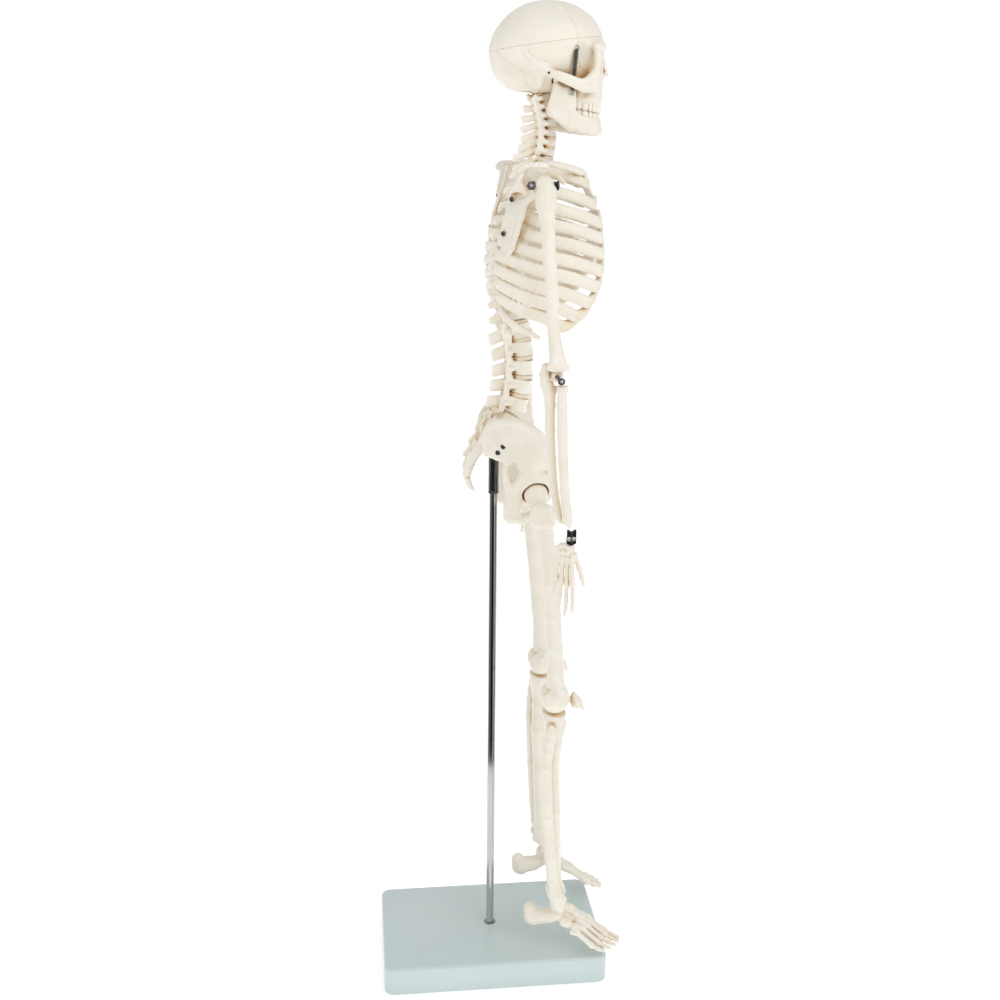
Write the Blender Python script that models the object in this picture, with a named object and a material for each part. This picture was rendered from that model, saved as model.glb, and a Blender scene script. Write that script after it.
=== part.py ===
"""Human skeleton teaching model, 85 cm tall, hung on a rod stand.

Frame: +Z up, Z = 0 on the table, the rod along X = Y = 0. The skeleton faces -Y and its
right side is -X. The script thinks in millimetres and scales to metres when it makes meshes.
A bone is a list of solids, each the hull of a few balls (x, y, z, r), fused by a voxel
remesh and thinned by a decimate. Left bones are mirror images of right ones.
"""
import math

import bmesh
import bpy
import numpy as np
from mathutils import Matrix, Vector

MM = 0.001
GAP = 0.3                       # clearance between neighbouring solids

# Stand
BASE_WIDTH = 130.0              # along X
BASE_LENGTH = 204.0             # along Y
BASE_HEIGHT = 26.8
BASE_CORNER = 9.0               # radius of the upright corners
BASE_EDGE = 3.0                 # radius of the top edge
ROD_RADIUS = 3.5
ROD_BOTTOM = 6.0                # foot of the rod, in the base's blind hole
ROD_TOP = 489.0
RUNNING_GAP = 0.06              # rod in base, rod in sleeve
SLEEVE_RADIUS = 4.4
SLEEVE_BOTTOM = 451.6
SLEEVE_TOP = 495.0
RIM_SIDES = 32                  # sides of every turned piece

# Joint centres, right side (x, y, z)
NECK = (0.0, -38.0, 784.0)
JAW = (0.0, -43.0, 792.0)
SHOULDER = (-84.0, -27.0, 712.0)
ELBOW = (-95.0, -37.5, 570.0)
WRIST = (-101.0, -50.0, 439.0)
HIP = (-42.0, -31.0, 461.0)
KNEE = (-42.0, -50.0, 276.5)
ANKLE = (-44.0, -57.0, 72.0)

# Bone sizes
HUMERUS_HEAD = 7.5
TROCHLEA = 4.6
FEMUR_HEAD = 10.0
CONDYLE = 11.3
TALUS_DOME = 7.0
FOOT_YAW_RIGHT = 20.0           # degrees outwards
FOOT_YAW_LEFT = -4.0

# Skull
SKULL_CENTRE = (0.0, -37.5, 814.0)
SKULL_RADII = (33.5, 44.0, 36.0)
SKULL_WALL = 2.6
CAP_PLANE = (5.0, 812.0)        # (y, z) where the cap's cut meets the back of the head
CAP_SLOPE = -12.0 / 88.0        # rise of the cut in Z for each unit of Y

# Spine: (z, y) of the middle of each vertebral body, top to bottom
CERVICAL = [(778, -38), (772, -39.5), (765.5, -41.5), (758.5, -43), (751, -43), (743.5, -42.6), (736, -41.5)]
THORACIC = [(727, -39.5), (716, -35.5), (705, -31), (694, -27), (683.3, -23.5), (672.4, -21),
            (661.5, -19), (650.6, -18), (639.7, -17.5), (628.8, -17.2), (617.9, -17.3), (607, -18)]
LUMBAR = [(593, -20.5), (578, -23.2), (562, -24), (546, -23), (530.5, -19.5)]

# Ribs 1 to 12: half width, reach behind the vertebra, (x, y, z) where bone meets cartilage or ends
RIBS = [(25, 10, (-20, -62, 708)), (37, 14, (-28, -73, 694)), (46, 17, (-33, -80, 682)),
        (53, 19, (-36, -82.5, 670)), (58, 20, (-38, -83, 658)), (61, 21, (-42, -81, 645)),
        (63, 21, (-47, -77, 633)), (64, 21, (-52, -69, 621)), (63, 20, (-56, -58, 610)),
        (60, 19, (-57, -46, 600)), (53, 17, (-50, -30, 593)), (44, 13, (-40, -8, 588))]
RIB_THICK = 2.4
STERNUM = [(0, -68, 715, 4), (0, -79, 698, 4), (0, -85, 676, 3.6), (0, -86.3, 656, 3.4), (0, -86, 644, 2)]
STERNUM_HALF = 5.0

IVORY = (0.90, 0.86, 0.77)
PALE_BLUE = (0.52, 0.62, 0.63)
STEEL = (0.55, 0.55, 0.56)

BODIES = {                      # moving body: (parent, pivot)
    "torso": (None, (0, 0, 470)),
    "skull": ("torso", NECK),
    "calvarium": ("skull", SKULL_CENTRE),
    "jaw": ("skull", JAW),
}


def other_side(point):
    """Mirror a point or a ball to the left side."""
    return (-point[0],) + tuple(point[1:])


for SIDE, FLIP in (("right", tuple), ("left", other_side)):
    BODIES["shoulder_fork_" + SIDE] = ("torso", FLIP(SHOULDER))
    BODIES["upper_arm_" + SIDE] = ("shoulder_fork_" + SIDE, FLIP(SHOULDER))
    BODIES["forearm_" + SIDE] = ("upper_arm_" + SIDE, FLIP(ELBOW))
    BODIES["hand_" + SIDE] = ("forearm_" + SIDE, FLIP(WRIST))
    BODIES["hip_bolt_" + SIDE] = ("torso", FLIP(HIP))
    BODIES["thigh_" + SIDE] = ("hip_bolt_" + SIDE, FLIP(HIP))
    BODIES["shank_" + SIDE] = ("thigh_" + SIDE, FLIP(KNEE))
    BODIES["foot_" + SIDE] = ("shank_" + SIDE, FLIP(ANKLE))


# ---------------------------------------------------------------- mesh tools

def unit_ball(subdivisions=2):
    """Vertex directions of a small icosphere."""
    shape = bmesh.new()
    bmesh.ops.create_icosphere(shape, subdivisions=subdivisions, radius=1.0)
    points = [v.co.copy() for v in shape.verts]
    shape.free()
    return points


BALL = unit_ball()


def add_hull(shape, balls):
    """Add the convex hull of some balls to a bmesh."""
    verts = [shape.verts.new((Vector((x, y, z)) + d * r) * MM) for x, y, z, r in balls for d in BALL]
    result = bmesh.ops.convex_hull(shape, input=verts)
    spare = {g for g in result["geom_interior"] + result["geom_unused"] if isinstance(g, bmesh.types.BMVert)}
    bmesh.ops.delete(shape, geom=list(spare), context="VERTS")


def add_ellipsoid(shape, centre, radii):
    """Add an ellipsoid to a bmesh."""
    place = Matrix.Translation(Vector(centre) * MM) @ Matrix.Diagonal(Vector((*radii, 1000.0)) * MM)
    bmesh.ops.create_icosphere(shape, subdivisions=3, radius=1.0, matrix=place)


def chain(points):
    """A limb through several balls, as hulls of neighbouring pairs."""
    return [[a, b] for a, b in zip(points, points[1:])]


def fan(centre, rim):
    """A plate from one ball to a row of balls, as hulls of three."""
    return [[centre, a, b] for a, b in zip(rim, rim[1:])]


def both(solids):
    """The solids and their mirror images."""
    return solids + [[other_side(ball) for ball in solid] for solid in solids]


def smooth_path(points, count):
    """Points on a Catmull-Rom curve through the given points."""
    p = np.array([points[0]] + list(points) + [points[-1]], float)
    path = []
    for t in np.linspace(0, len(points) - 1, count):
        i = min(int(t), len(points) - 2)
        s = t - i
        a, b, c, d = p[i:i + 4]
        path.append(0.5 * (2 * b + (c - a) * s + (2 * a - 5 * b + 4 * c - d) * s * s
                           + (3 * b - a - 3 * c + d) * s ** 3))
    return [tuple(q) for q in path]


def evaluated(obj):
    """The object's mesh with its modifiers applied, as a new mesh; the object is removed."""
    graph = bpy.context.evaluated_depsgraph_get()
    mesh = bpy.data.meshes.new_from_object(obj.evaluated_get(graph))
    bpy.data.objects.remove(obj)
    return mesh


def linked(name, mesh):
    obj = bpy.data.objects.new(name, mesh)
    bpy.context.scene.collection.objects.link(obj)
    return obj


def from_bmesh(shape):
    mesh = bpy.data.meshes.new("shape")
    bmesh.ops.recalc_face_normals(shape, faces=shape.faces)
    shape.to_mesh(mesh)
    shape.free()
    return mesh


def outer_skin(mesh):
    """Drop every island but the largest, such as the wall of a sealed void."""
    shape = bmesh.new()
    shape.from_mesh(mesh)
    waiting = set(shape.verts)
    islands = []
    while waiting:
        island = {waiting.pop()}
        front = list(island)
        while front:
            near = {e.other_vert(v) for v in front for e in v.link_edges} - island
            island |= near
            front = list(near)
        waiting -= island
        islands.append(island)
    islands.sort(key=len)
    bmesh.ops.delete(shape, geom=[v for island in islands[:-1] for v in island], context="VERTS")
    shape.to_mesh(mesh)
    shape.free()
    return mesh


def thinned(mesh, triangles):
    """The mesh decimated to about the given number of triangles."""
    obj = linked("thin", mesh)
    thin = obj.modifiers.new("thin", "DECIMATE")
    thin.ratio = min(1.0, triangles / sum(len(face.vertices) - 2 for face in mesh.polygons))
    thin.use_collapse_triangulate = True
    return outer_skin(evaluated(obj))


def fused(solids, triangles, voxel=1.2, ellipsoids=()):
    """One closed skin round all the solids, thinned to about the given number of triangles."""
    shape = bmesh.new()
    for balls in solids:
        add_hull(shape, balls)
    for centre, radii in ellipsoids:
        add_ellipsoid(shape, centre, radii)
    obj = linked("fuse", from_bmesh(shape))
    remesh = obj.modifiers.new("skin", "REMESH")
    remesh.mode = "VOXEL"
    remesh.voxel_size = voxel * MM
    return thinned(outer_skin(evaluated(obj)), triangles)


def cut(mesh, cutters, operation="DIFFERENCE"):
    """The mesh with each cutter mesh taken away (or kept, for INTERSECT)."""
    for cutter in cutters:
        obj = linked("body", mesh)
        tool = linked("cutter", cutter)
        tool.hide_render = True
        tool.display_type = "WIRE"
        boolean = obj.modifiers.new("cut", "BOOLEAN")
        boolean.operation = operation
        boolean.solver = "EXACT"
        boolean.object = tool
        mesh = evaluated(obj)
        bpy.data.objects.remove(tool)
    return mesh


def mirrored(mesh):
    copy = mesh.copy()
    copy.transform(Matrix.Scale(-1, 4, Vector((1, 0, 0))))
    copy.flip_normals()
    return copy


def ball_mesh(centre, radius, subdivisions=3):
    shape = bmesh.new()
    place = Matrix.Translation(Vector(centre) * MM)
    bmesh.ops.create_icosphere(shape, subdivisions=subdivisions, radius=radius * MM, matrix=place)
    return from_bmesh(shape)


def ellipsoid_mesh(centre, radii):
    shape = bmesh.new()
    add_ellipsoid(shape, centre, radii)
    return from_bmesh(shape)


def rod_mesh(start, end, radius, sides=RIM_SIDES):
    """A cylinder between two points."""
    a, b = Vector(start), Vector(end)
    turn = (b - a).to_track_quat("Z", "Y").to_matrix().to_4x4()
    place = Matrix.Translation((a + b) / 2 * MM) @ turn
    shape = bmesh.new()
    bmesh.ops.create_cone(shape, cap_ends=True, segments=sides, radius1=radius * MM, radius2=radius * MM,
                          depth=(b - a).length * MM, matrix=place)
    return from_bmesh(shape)


def box_mesh(low, high):
    low, high = Vector(low), Vector(high)
    place = Matrix.Translation((low + high) / 2 * MM) @ Matrix.Diagonal(Vector((*(high - low), 1000.0)) * MM)
    shape = bmesh.new()
    bmesh.ops.create_cube(shape, size=1.0, matrix=place)
    return from_bmesh(shape)


def turned_mesh(profile, sides=RIM_SIDES):
    """A solid of revolution about Z from a closed (radius, z) outline."""
    shape = bmesh.new()
    rings = []
    for k in range(sides):
        angle = 2 * math.pi * k / sides
        rings.append([shape.verts.new((r * MM * math.cos(angle), r * MM * math.sin(angle), z * MM))
                      for r, z in profile])
    for a, b in zip(rings, rings[1:] + rings[:1]):
        for i in range(len(profile)):
            j = (i + 1) % len(profile)
            shape.faces.new((a[i], b[i], b[j], a[j]))
    bmesh.ops.remove_doubles(shape, verts=shape.verts, dist=0.001 * MM)
    return from_bmesh(shape)


def united(meshes):
    """Several overlapping meshes as one."""
    return cut(meshes[0], meshes[1:], "UNION")


# ---------------------------------------------------------------- materials and placing

def material(name, colour, roughness, metallic):
    made = bpy.data.materials.new(name)
    made.use_nodes = True
    shader = made.node_tree.nodes["Principled BSDF"]
    shader.inputs["Base Color"].default_value = (*colour, 1)
    shader.inputs["Roughness"].default_value = roughness
    shader.inputs["Metallic"].default_value = metallic
    return made


def make_empties():
    """One empty on each joint's pivot, parented as the bodies are."""
    empties = {}
    for body, (parent, pivot) in BODIES.items():
        empty = bpy.data.objects.new("pivot_" + body, None)
        bpy.context.scene.collection.objects.link(empty)
        origin = Vector(BODIES[parent][1]) if parent else Vector()
        empty.location = (Vector(pivot) - origin) * MM
        empty.parent = empties[parent] if parent else None
        empties[body] = empty
    return empties


def place(name, mesh, finish, body=None, round_piece=True):
    """Make the named object, with its origin on its body's pivot."""
    if body:
        pivot = Vector(BODIES[body][1]) * MM
        mesh.transform(Matrix.Translation(-pivot))
    mesh.materials.clear()
    mesh.materials.append(finish)
    if round_piece:
        mesh.shade_smooth()
        mesh.set_sharp_from_angle(angle=math.radians(40))
    obj = linked(name, mesh)
    obj.parent = EMPTIES[body] if body else None
    return obj


def place_pair(name, mesh, finish, body):
    """Place a right-side mesh and its mirror image."""
    left = mirrored(mesh)
    place(name + "_right", mesh, finish, body if body == "torso" else body + "_right")
    place(name + "_left", left, finish, body if body == "torso" else body + "_left")


# ---------------------------------------------------------------- stand

def rounded_slab(width, length, corner, levels, steps=5):
    """A rounded rectangle lofted through (inset, z) levels and capped."""
    shape = bmesh.new()
    loops = []
    for inset, z in levels:
        loop = []
        radius = max(corner - inset, 0.5)
        for quarter, (sx, sy) in enumerate(((1, 1), (-1, 1), (-1, -1), (1, -1))):
            cx = sx * (width / 2 - inset - radius)
            cy = sy * (length / 2 - inset - radius)
            for k in range(steps + 1):
                angle = math.pi / 2 * (quarter + k / steps)
                loop.append(shape.verts.new(((cx + radius * math.cos(angle)) * MM,
                                             (cy + radius * math.sin(angle)) * MM, z * MM)))
        loops.append(loop)
    for a, b in zip(loops, loops[1:]):
        for i in range(len(a)):
            j = (i + 1) % len(a)
            shape.faces.new((a[i], a[j], b[j], b[i]))
    shape.faces.new(loops[0][::-1])
    shape.faces.new(loops[-1])
    return from_bmesh(shape)


def make_stand():
    edge = [(BASE_EDGE * (1 - math.cos(a)), BASE_HEIGHT - BASE_EDGE * (1 - math.sin(a)))
            for a in np.linspace(0, math.pi / 2, 4)]
    slab = rounded_slab(BASE_WIDTH, BASE_LENGTH, BASE_CORNER, [(0, 0)] + edge)
    hole = rod_mesh((0, 0, ROD_BOTTOM - GAP), (0, 0, BASE_HEIGHT + 2), ROD_RADIUS + RUNNING_GAP)
    place("base", cut(slab, [hole]), BASE_PLASTIC)

    rod = turned_mesh([(0, ROD_BOTTOM), (ROD_RADIUS, ROD_BOTTOM), (ROD_RADIUS, ROD_TOP - 1),
                       (ROD_RADIUS - 1, ROD_TOP), (0, ROD_TOP)])
    place("rod", rod, CHROME)

    bore_radius = ROD_RADIUS + RUNNING_GAP
    sleeve = turned_mesh([(bore_radius, SLEEVE_BOTTOM), (SLEEVE_RADIUS, SLEEVE_BOTTOM),
                          (SLEEVE_RADIUS, SLEEVE_TOP), (0, SLEEVE_TOP), (0, ROD_TOP + 1),
                          (bore_radius, ROD_TOP + 1)])
    place("rod_sleeve", sleeve, DARK_STEEL, "torso")


# ---------------------------------------------------------------- skull

def cap_height(y):
    """Z of the cut that separates the skull cap."""
    return CAP_PLANE[1] + CAP_SLOPE * (y - CAP_PLANE[0])


def cap_block(lift):
    """Everything above the cap's cut, moved up by lift."""
    reach = 70.0
    shape = bmesh.new()
    corners = [(x, y, cap_height(y) + lift) for x in (-reach, reach) for y in (-110.0, 40.0)]
    corners += [(x, y, 900.0) for x in (-reach, reach) for y in (-110.0, 40.0)]
    verts = [shape.verts.new(Vector(c) * MM) for c in corners]
    bmesh.ops.convex_hull(shape, input=verts)
    return from_bmesh(shape)


def make_skull():
    inner = tuple(r - SKULL_WALL for r in SKULL_RADII)
    face = both([
        [(-13, -76, 812, 6), (-24, -68, 812, 5), (-14, -72, 800, 5)],
        [(-20, -74, 795, 6), (-8, -78, 796, 5), (-10, -76, 778, 6), (-16, -66, 780, 6)],
        [(-4, -80, 806, 4), (-6, -79, 776, 6), (-11, -74, 773, 4.5)],
        [(-27, -70, 803, 3.5), (-27, -70, 793, 4), (-20, -74, 792, 5)],
        [(-27, -71, 815, 3), (-27, -70, 803, 3)],
        [(-8, -52, 784, 5), (-10, -62, 780, 5), (-15, -62, 795, 9)],
        [(-24, -30, 797, 6), (-23, -26, 788, 4)],
        [(-6, -40, 788.5, 3.5), (-12, -30, 792, 6)],
    ] + chain([(-31, -42, 799, 2.2), (-33.6, -50, 798, 1.9), (-33.6, -60, 797.5, 1.9), (-28, -71, 796, 3)]))
    nose = chain([(0, -81, 815, 3.5), (0, -86, 803, 2.2)]) + [[(0, -78, 800, 5), (0, -60, 790, 9)]]
    head = fused(face + nose, 1400, 1.1, [(SKULL_CENTRE, SKULL_RADII)])
    orbit = ellipsoid_mesh((-15.2, -82, 804.5), (9.0, 12, 8.4))
    nostril = ellipsoid_mesh((0, -86, 791), (5.5, 8, 6.5))
    hollow = ellipsoid_mesh(SKULL_CENTRE, inner)
    pin_hole = rod_mesh((0, -38, 770), (0, -38, 795), 1.9, sides=16)
    below = box_mesh((-40, -56, 760), (40, 20, 782.6))
    fossa = rod_mesh((-33, JAW[1], JAW[2] - 0.5), (-19, JAW[1], JAW[2] - 0.5), 3.7, sides=16)
    head = cut(head, [hollow, cap_block(0), orbit, mirrored(orbit), nostril, below, fossa, mirrored(fossa)])
    head = cut(thinned(head, 1150), [pin_hole])
    place("cranium", head, BONE, "skull")

    cap = cut(ellipsoid_mesh(SKULL_CENTRE, SKULL_RADII), [ellipsoid_mesh(SKULL_CENTRE, inner)])
    place("calvarium", cut(cap, [cap_block(GAP + 0.1)], "INTERSECT"), BONE, "calvarium")

    jaw = both([
        [(-26.5, -43, 791.5, 2.3), (-26, -44, 783, 2.3), (-24.3, -54, 781, 2.0)],
        [(-24, -56, 789, 1.6), (-24.3, -54, 781, 2.0), (-26, -44, 783, 2.3)],
        [(-26, -44, 783, 2.3), (-24.3, -54, 781, 2.0), (-23.5, -41, 768, 2.8), (-22.5, -54, 765, 3.2)],
    ] + chain([(-23, -46, 767, 3.5), (-20.5, -60, 762, 4.0), (-13, -73, 759, 4.4), (0, -78, 757, 4.8)]))
    place("mandible", fused(jaw, 420, 1.0), BONE, "jaw")

    spring = rod_mesh((-32.2, -57.5, 811.5), (-28.0, -55.2, 783), 1.1, sides=8)
    spring_left = mirrored(spring)
    place("jaw_spring_right", spring, CHROME, "skull")
    place("jaw_spring_left", spring_left, CHROME, "skull")
    place("neck_pin", rod_mesh((0, -38, 778), (0, -38, 793), 1.5, sides=16), DARK_STEEL, "torso")


# ---------------------------------------------------------------- spine

def vertebrae(levels, depth, width, spine_reach, spine_drop, wing, triangles):
    """A run of vertebrae cast as one column; the sizes run evenly from first to last."""
    solids = []
    last = len(levels) - 1
    for i, (z, y) in enumerate(levels):
        t = i / last
        size = [a + (b - a) * t for a, b in (depth, width, spine_reach, spine_drop, wing)]
        half_depth, half_width, reach, drop, span = size
        spread = half_width - half_depth
        tall = half_depth * 0.75
        solids.append([(-spread, y, z, tall), (spread, y, z, tall), (0, y - half_depth + tall, z, tall)])
        back = y + half_depth
        solids.append([(0, back, z, 3.0), (0, back + 5, z - 1, 3.0)])
        solids.append([(0, back + 5, z - 1, 2.4), (0, y + reach, z - drop, 1.6)])
        solids.append([(-span, back + 4, z, 1.5), (0, back + 2, z, 2.4)])
        solids.append([(span, back + 4, z, 1.5), (0, back + 2, z, 2.4)])
    for (z0, y0), (z1, y1) in zip(levels, levels[1:]):
        solids.append([(0, y0, z0, 4.0), (0, y1, z1, 4.0)])
    return fused(solids, triangles, 1.1)


def make_spine():
    cervical = vertebrae(CERVICAL, (4.6, 5.2), (6, 7.5), (17, 27), (1, 5), (12, 12), 460)
    pin_hole = rod_mesh((0, -38, 777), (0, -38, 795), 1.9, sides=16)
    place("cervical_spine", cut(cervical, [pin_hole]), BONE, "torso")
    place("thoracic_spine", vertebrae(THORACIC, (5.4, 7.0), (7, 9), (25, 24), (6, 8), (8.5, 8), 620),
          BONE, "torso")
    place("lumbar_spine", vertebrae(LUMBAR, (7.6, 8.2), (10, 12), (27, 26), (4, 3), (17, 19), 460),
          BONE, "torso")
    sacrum = [[(-7, -9, 513, 7), (7, -9, 513, 7), (0, 4, 502, 8)],
              [(-14, -2, 511, 6), (14, -2, 511, 6), (0, 8, 500, 7)],
              [(-10, 8, 497, 6), (10, 8, 497, 6), (0, 18, 483, 6)],
              [(0, 18, 483, 6), (0, 23, 473, 4.0)]]
    sacrum += chain([(0, 7, 519, 2), (0, 15, 506, 2.4), (0, 24.5, 489, 2.4), (0, 26, 476, 2)])
    socket = rod_mesh((0, 0, 470), (0, 0, SLEEVE_TOP + GAP), SLEEVE_RADIUS + GAP)
    place("sacrum", cut(fused(sacrum, 240), [socket]), BONE, "torso")
    place("coccyx", fused(chain([(0, 22.5, 465, 2.6), (0, 21, 460, 2.2), (0, 18.5, 456.5, 1.6)]), 60, 0.8),
          BONE, "torso")


# ---------------------------------------------------------------- rib cage

def rib_path(index, count):
    """Right rib from the vertebra round to its front end."""
    half_width, reach, (x, y, z) = RIBS[index]
    top, middle = THORACIC[index]
    back = middle + reach
    tip_turn = 0.55 if index < 10 else 0.35
    points = [(-13.5, middle + 5, top), (-0.28 * half_width - 8, back - 2.5, top - 1),
              (-0.66 * half_width - 4, back - 1.5, top - 5),
              (-half_width, back + (y - back) * tip_turn * 0.62, top + (z - top) * 0.48),
              (-half_width * 0.97 if index < 10 else x * 1.02, back + (y - back) * (tip_turn + 0.17),
               top + (z - top) * 0.72),
              (x, y, z)]
    return smooth_path(points, count)


CARTILAGES = [
    [(-20, -62, 708), (-7, -69, 711)],
    [(-28, -73, 694), (-8, -78.5, 698)],
    [(-33, -80, 682), (-8, -83, 688)],
    [(-36, -82.5, 670), (-22, -85, 673), (-8, -85, 679)],
    [(-38, -83, 658), (-24, -87, 662), (-8, -86, 671)],
    [(-42, -81, 645), (-27, -87, 650), (-8, -86.5, 663)],
    [(-47, -77, 633), (-30, -86, 638), (-9, -86.5, 657)],
    [(-52, -69, 621), (-40, -80, 625), (-27, -86, 640)],
    [(-56, -58, 610), (-48, -71, 611), (-38, -80, 626)],
    [(-57, -46, 600), (-53, -60, 597), (-46, -72, 611)],
]


def make_ribs():
    solids = []
    for i in range(10):
        solids += chain([(*p, RIB_THICK) for p in rib_path(i, 9)])
    for line in CARTILAGES:
        solids += chain([(*p, RIB_THICK) for p in smooth_path(line, 4)])
    breastbone = []
    for (x, y, z, r), (x2, y2, z2, r2) in zip(STERNUM, STERNUM[1:]):
        flat = 2.4
        breastbone.append([(side * (r + 1.5), y, z, flat) for side in (-1, 1)]
                          + [(side * (r2 + (1.5 if z2 > 650 else -1.5)), y2, z2, flat) for side in (-1, 1)])
    place("rib_cage", fused(both(solids) + breastbone, 2000, 1.2), BONE, "torso")
    for index, name in ((10, "rib_11"), (11, "rib_12")):
        rib = fused(chain([(*p, RIB_THICK - 0.4) for p in rib_path(index, 7)]), 80, 0.9)
        place_pair(name, rib, BONE, "torso")


# ---------------------------------------------------------------- shoulder girdle and arm

def make_girdle():
    glenoid = (-70, -25, 709, 3.6)
    top, middle, tip, edge = (-41, -3, 722, 1.5), (-38, 8.5, 700, 1.5), (-50, 4, 660, 2), (-64, -8, 686, 2)
    blade = [[top, middle, glenoid], [middle, tip, edge], [middle, edge, glenoid]]
    ridge = chain([(-42, 10, 703, 1.6), (-62, -1, 714, 2.0), (-80, -12, 724.5, 2.2), (-85, -24, 725, 2.2)])
    beak = chain([(-68, -25, 713, 3), (-65, -35, 719, 2.4), (-70, -43, 715, 2)])
    scapula = fused(blade + ridge + beak, 280, 1.0)
    place_pair("scapula", scapula, BONE, "torso")
    line = smooth_path([(-7.5, -64.5, 722), (-24, -61, 724), (-44, -46, 727), (-62, -33, 728.5), (-77, -33, 726)], 9)
    place_pair("clavicle", fused(chain([(*p, 2.5) for p in line]), 120, 0.9), BONE, "torso")


def make_arm():
    x, y, z = SHOULDER
    reach = HUMERUS_HEAD + 0.7
    outer = reach + 1.1
    plate = x + HUMERUS_HEAD + 1.9
    fork = united([box_mesh((plate - 1.1, y - outer, z - 2.5), (plate, y + outer, z + 2.5)),
                   box_mesh((x - 2.5, y - outer, z - 2.5), (plate - 0.5, y - reach, z + 2.5)),
                   box_mesh((x - 2.5, y + reach, z - 2.5), (plate - 0.5, y + outer, z + 2.5))])
    place_pair("shoulder_fork", fork, DARK_STEEL, "shoulder_fork")

    head = [[(*SHOULDER, HUMERUS_HEAD)], [(-87.5, -28.5, 707.5, 5), (-87, -29, 700, 5.5)]]
    shaft = chain([(*SHOULDER, 6.5), (-87, -29, 700, 5.6), (-89, -32, 665, 4.4), (-91, -34.5, 627, 4.1),
                   (-93, -36, 597, 4.2)])
    end = [[(-93, -36, 597, 4.2), (-87.5, -37, 579, 3.2), (-102.5, -37, 579, 3.2)],
           [(-88.5, -37.5, 570, TROCHLEA), (-101.5, -37.5, 570, TROCHLEA)],
           [(-88.5, -37.2, 576, 3.6), (-101.5, -37.2, 576, 3.6)]]
    pin_room = rod_mesh((-110, ELBOW[1], ELBOW[2]), (-80, ELBOW[1], ELBOW[2]), 1.45, sides=12)
    place_pair("humerus", cut(fused(head + shaft + end, 240, 1.0), [pin_room]), BONE, "upper_arm")
    pin = rod_mesh((-107.5, ELBOW[1], ELBOW[2]), (-82.5, ELBOW[1], ELBOW[2]), 1.2, sides=12)
    place_pair("elbow_pin", pin, DARK_STEEL, "upper_arm")

    clearance = rod_mesh((-120, ELBOW[1], ELBOW[2]), (-70, ELBOW[1], ELBOW[2]), TROCHLEA + 0.7, sides=24)
    ulna = [[(-91, -29.6, 577, 2.2), (-91, -29.6, 568, 3.0), (-91, -34, 562, 3.6)]]
    ulna += chain([(-91, -34, 562, 3.6), (-90.5, -36.5, 553, 3.0), (-90.5, -40, 520, 2.3),
                   (-91.5, -45, 475, 2.2), (-92, -47.5, 455, 2.7)])
    place_pair("ulna", cut(fused(ulna, 130, 0.9), [clearance]), BONE, "forearm")
    radius = chain([(-100, -39.5, 561.5, 3.4), (-99.5, -39, 553, 2.4), (-102, -40.5, 520, 2.7),
                    (-101.5, -45.5, 475, 3.0), (-100.5, -48.5, 457, 4.2)])
    radius += [[(-102.5, -48.5, 455, 4.0), (-99, -48.5, 454, 4.2)]]
    notch = box_mesh((-112, -54.5, 448), (-103.0, -45.5, 455))
    place_pair("radius", cut(fused(radius, 140, 0.9), [clearance, notch]), BONE, "forearm")

    plate_low, plate_high = (-105.0, -53.6, WRIST[2] - 3.5), (-103.3, -46.4, 453.5)
    pin = rod_mesh((-104.5, WRIST[1], WRIST[2]), (-95, WRIST[1], WRIST[2]), 1.2, sides=12)
    place_pair("wrist_link", united([box_mesh(plate_low, plate_high), pin]), DARK_STEEL, "forearm")

    rays = [  # metacarpal base, knuckle, fingertip
        ((-103.5, -49, 424, 2.3), (-105.5, -50, 402, 2.4), (-107, -50, 381, 1.7)),
        ((-99, -49, 424, 2.3), (-100, -50.5, 400.5, 2.4), (-100.5, -50, 376.5, 1.7)),
        ((-95, -49, 424, 2.2), (-94.6, -50, 402.5, 2.2), (-94, -49.5, 380.5, 1.6)),
        ((-91, -48.5, 425, 2.1), (-89.5, -49, 405.5, 2.1), (-88, -48.5, 389, 1.5)),
    ]
    hand = [[(-103, -49.5, 430, 3.2), (-91, -48.5, 431, 3.0), (-92, -48.5, 425, 2.8), (-103, -49, 425, 2.8)],
            [(-100, WRIST[1], WRIST[2], 2.6), (-97, WRIST[1], WRIST[2], 2.6), (-98.5, -49.5, 431, 3.4)]]
    for ray in rays:
        hand += chain(ray)
    hand += chain([(-104, -50, 428, 2.8), (-107.5, -54.5, 417, 2.3), (-109.5, -58, 408, 2.2),
                   (-110.5, -61.3, 399.5, 1.6)])
    bore = rod_mesh((-110, WRIST[1], WRIST[2]), (-90, WRIST[1], WRIST[2]), 1.5, sides=12)
    place_pair("hand", cut(fused(hand, 400, 0.9), [bore]), BONE, "hand")


# ---------------------------------------------------------------- pelvis and leg

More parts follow.
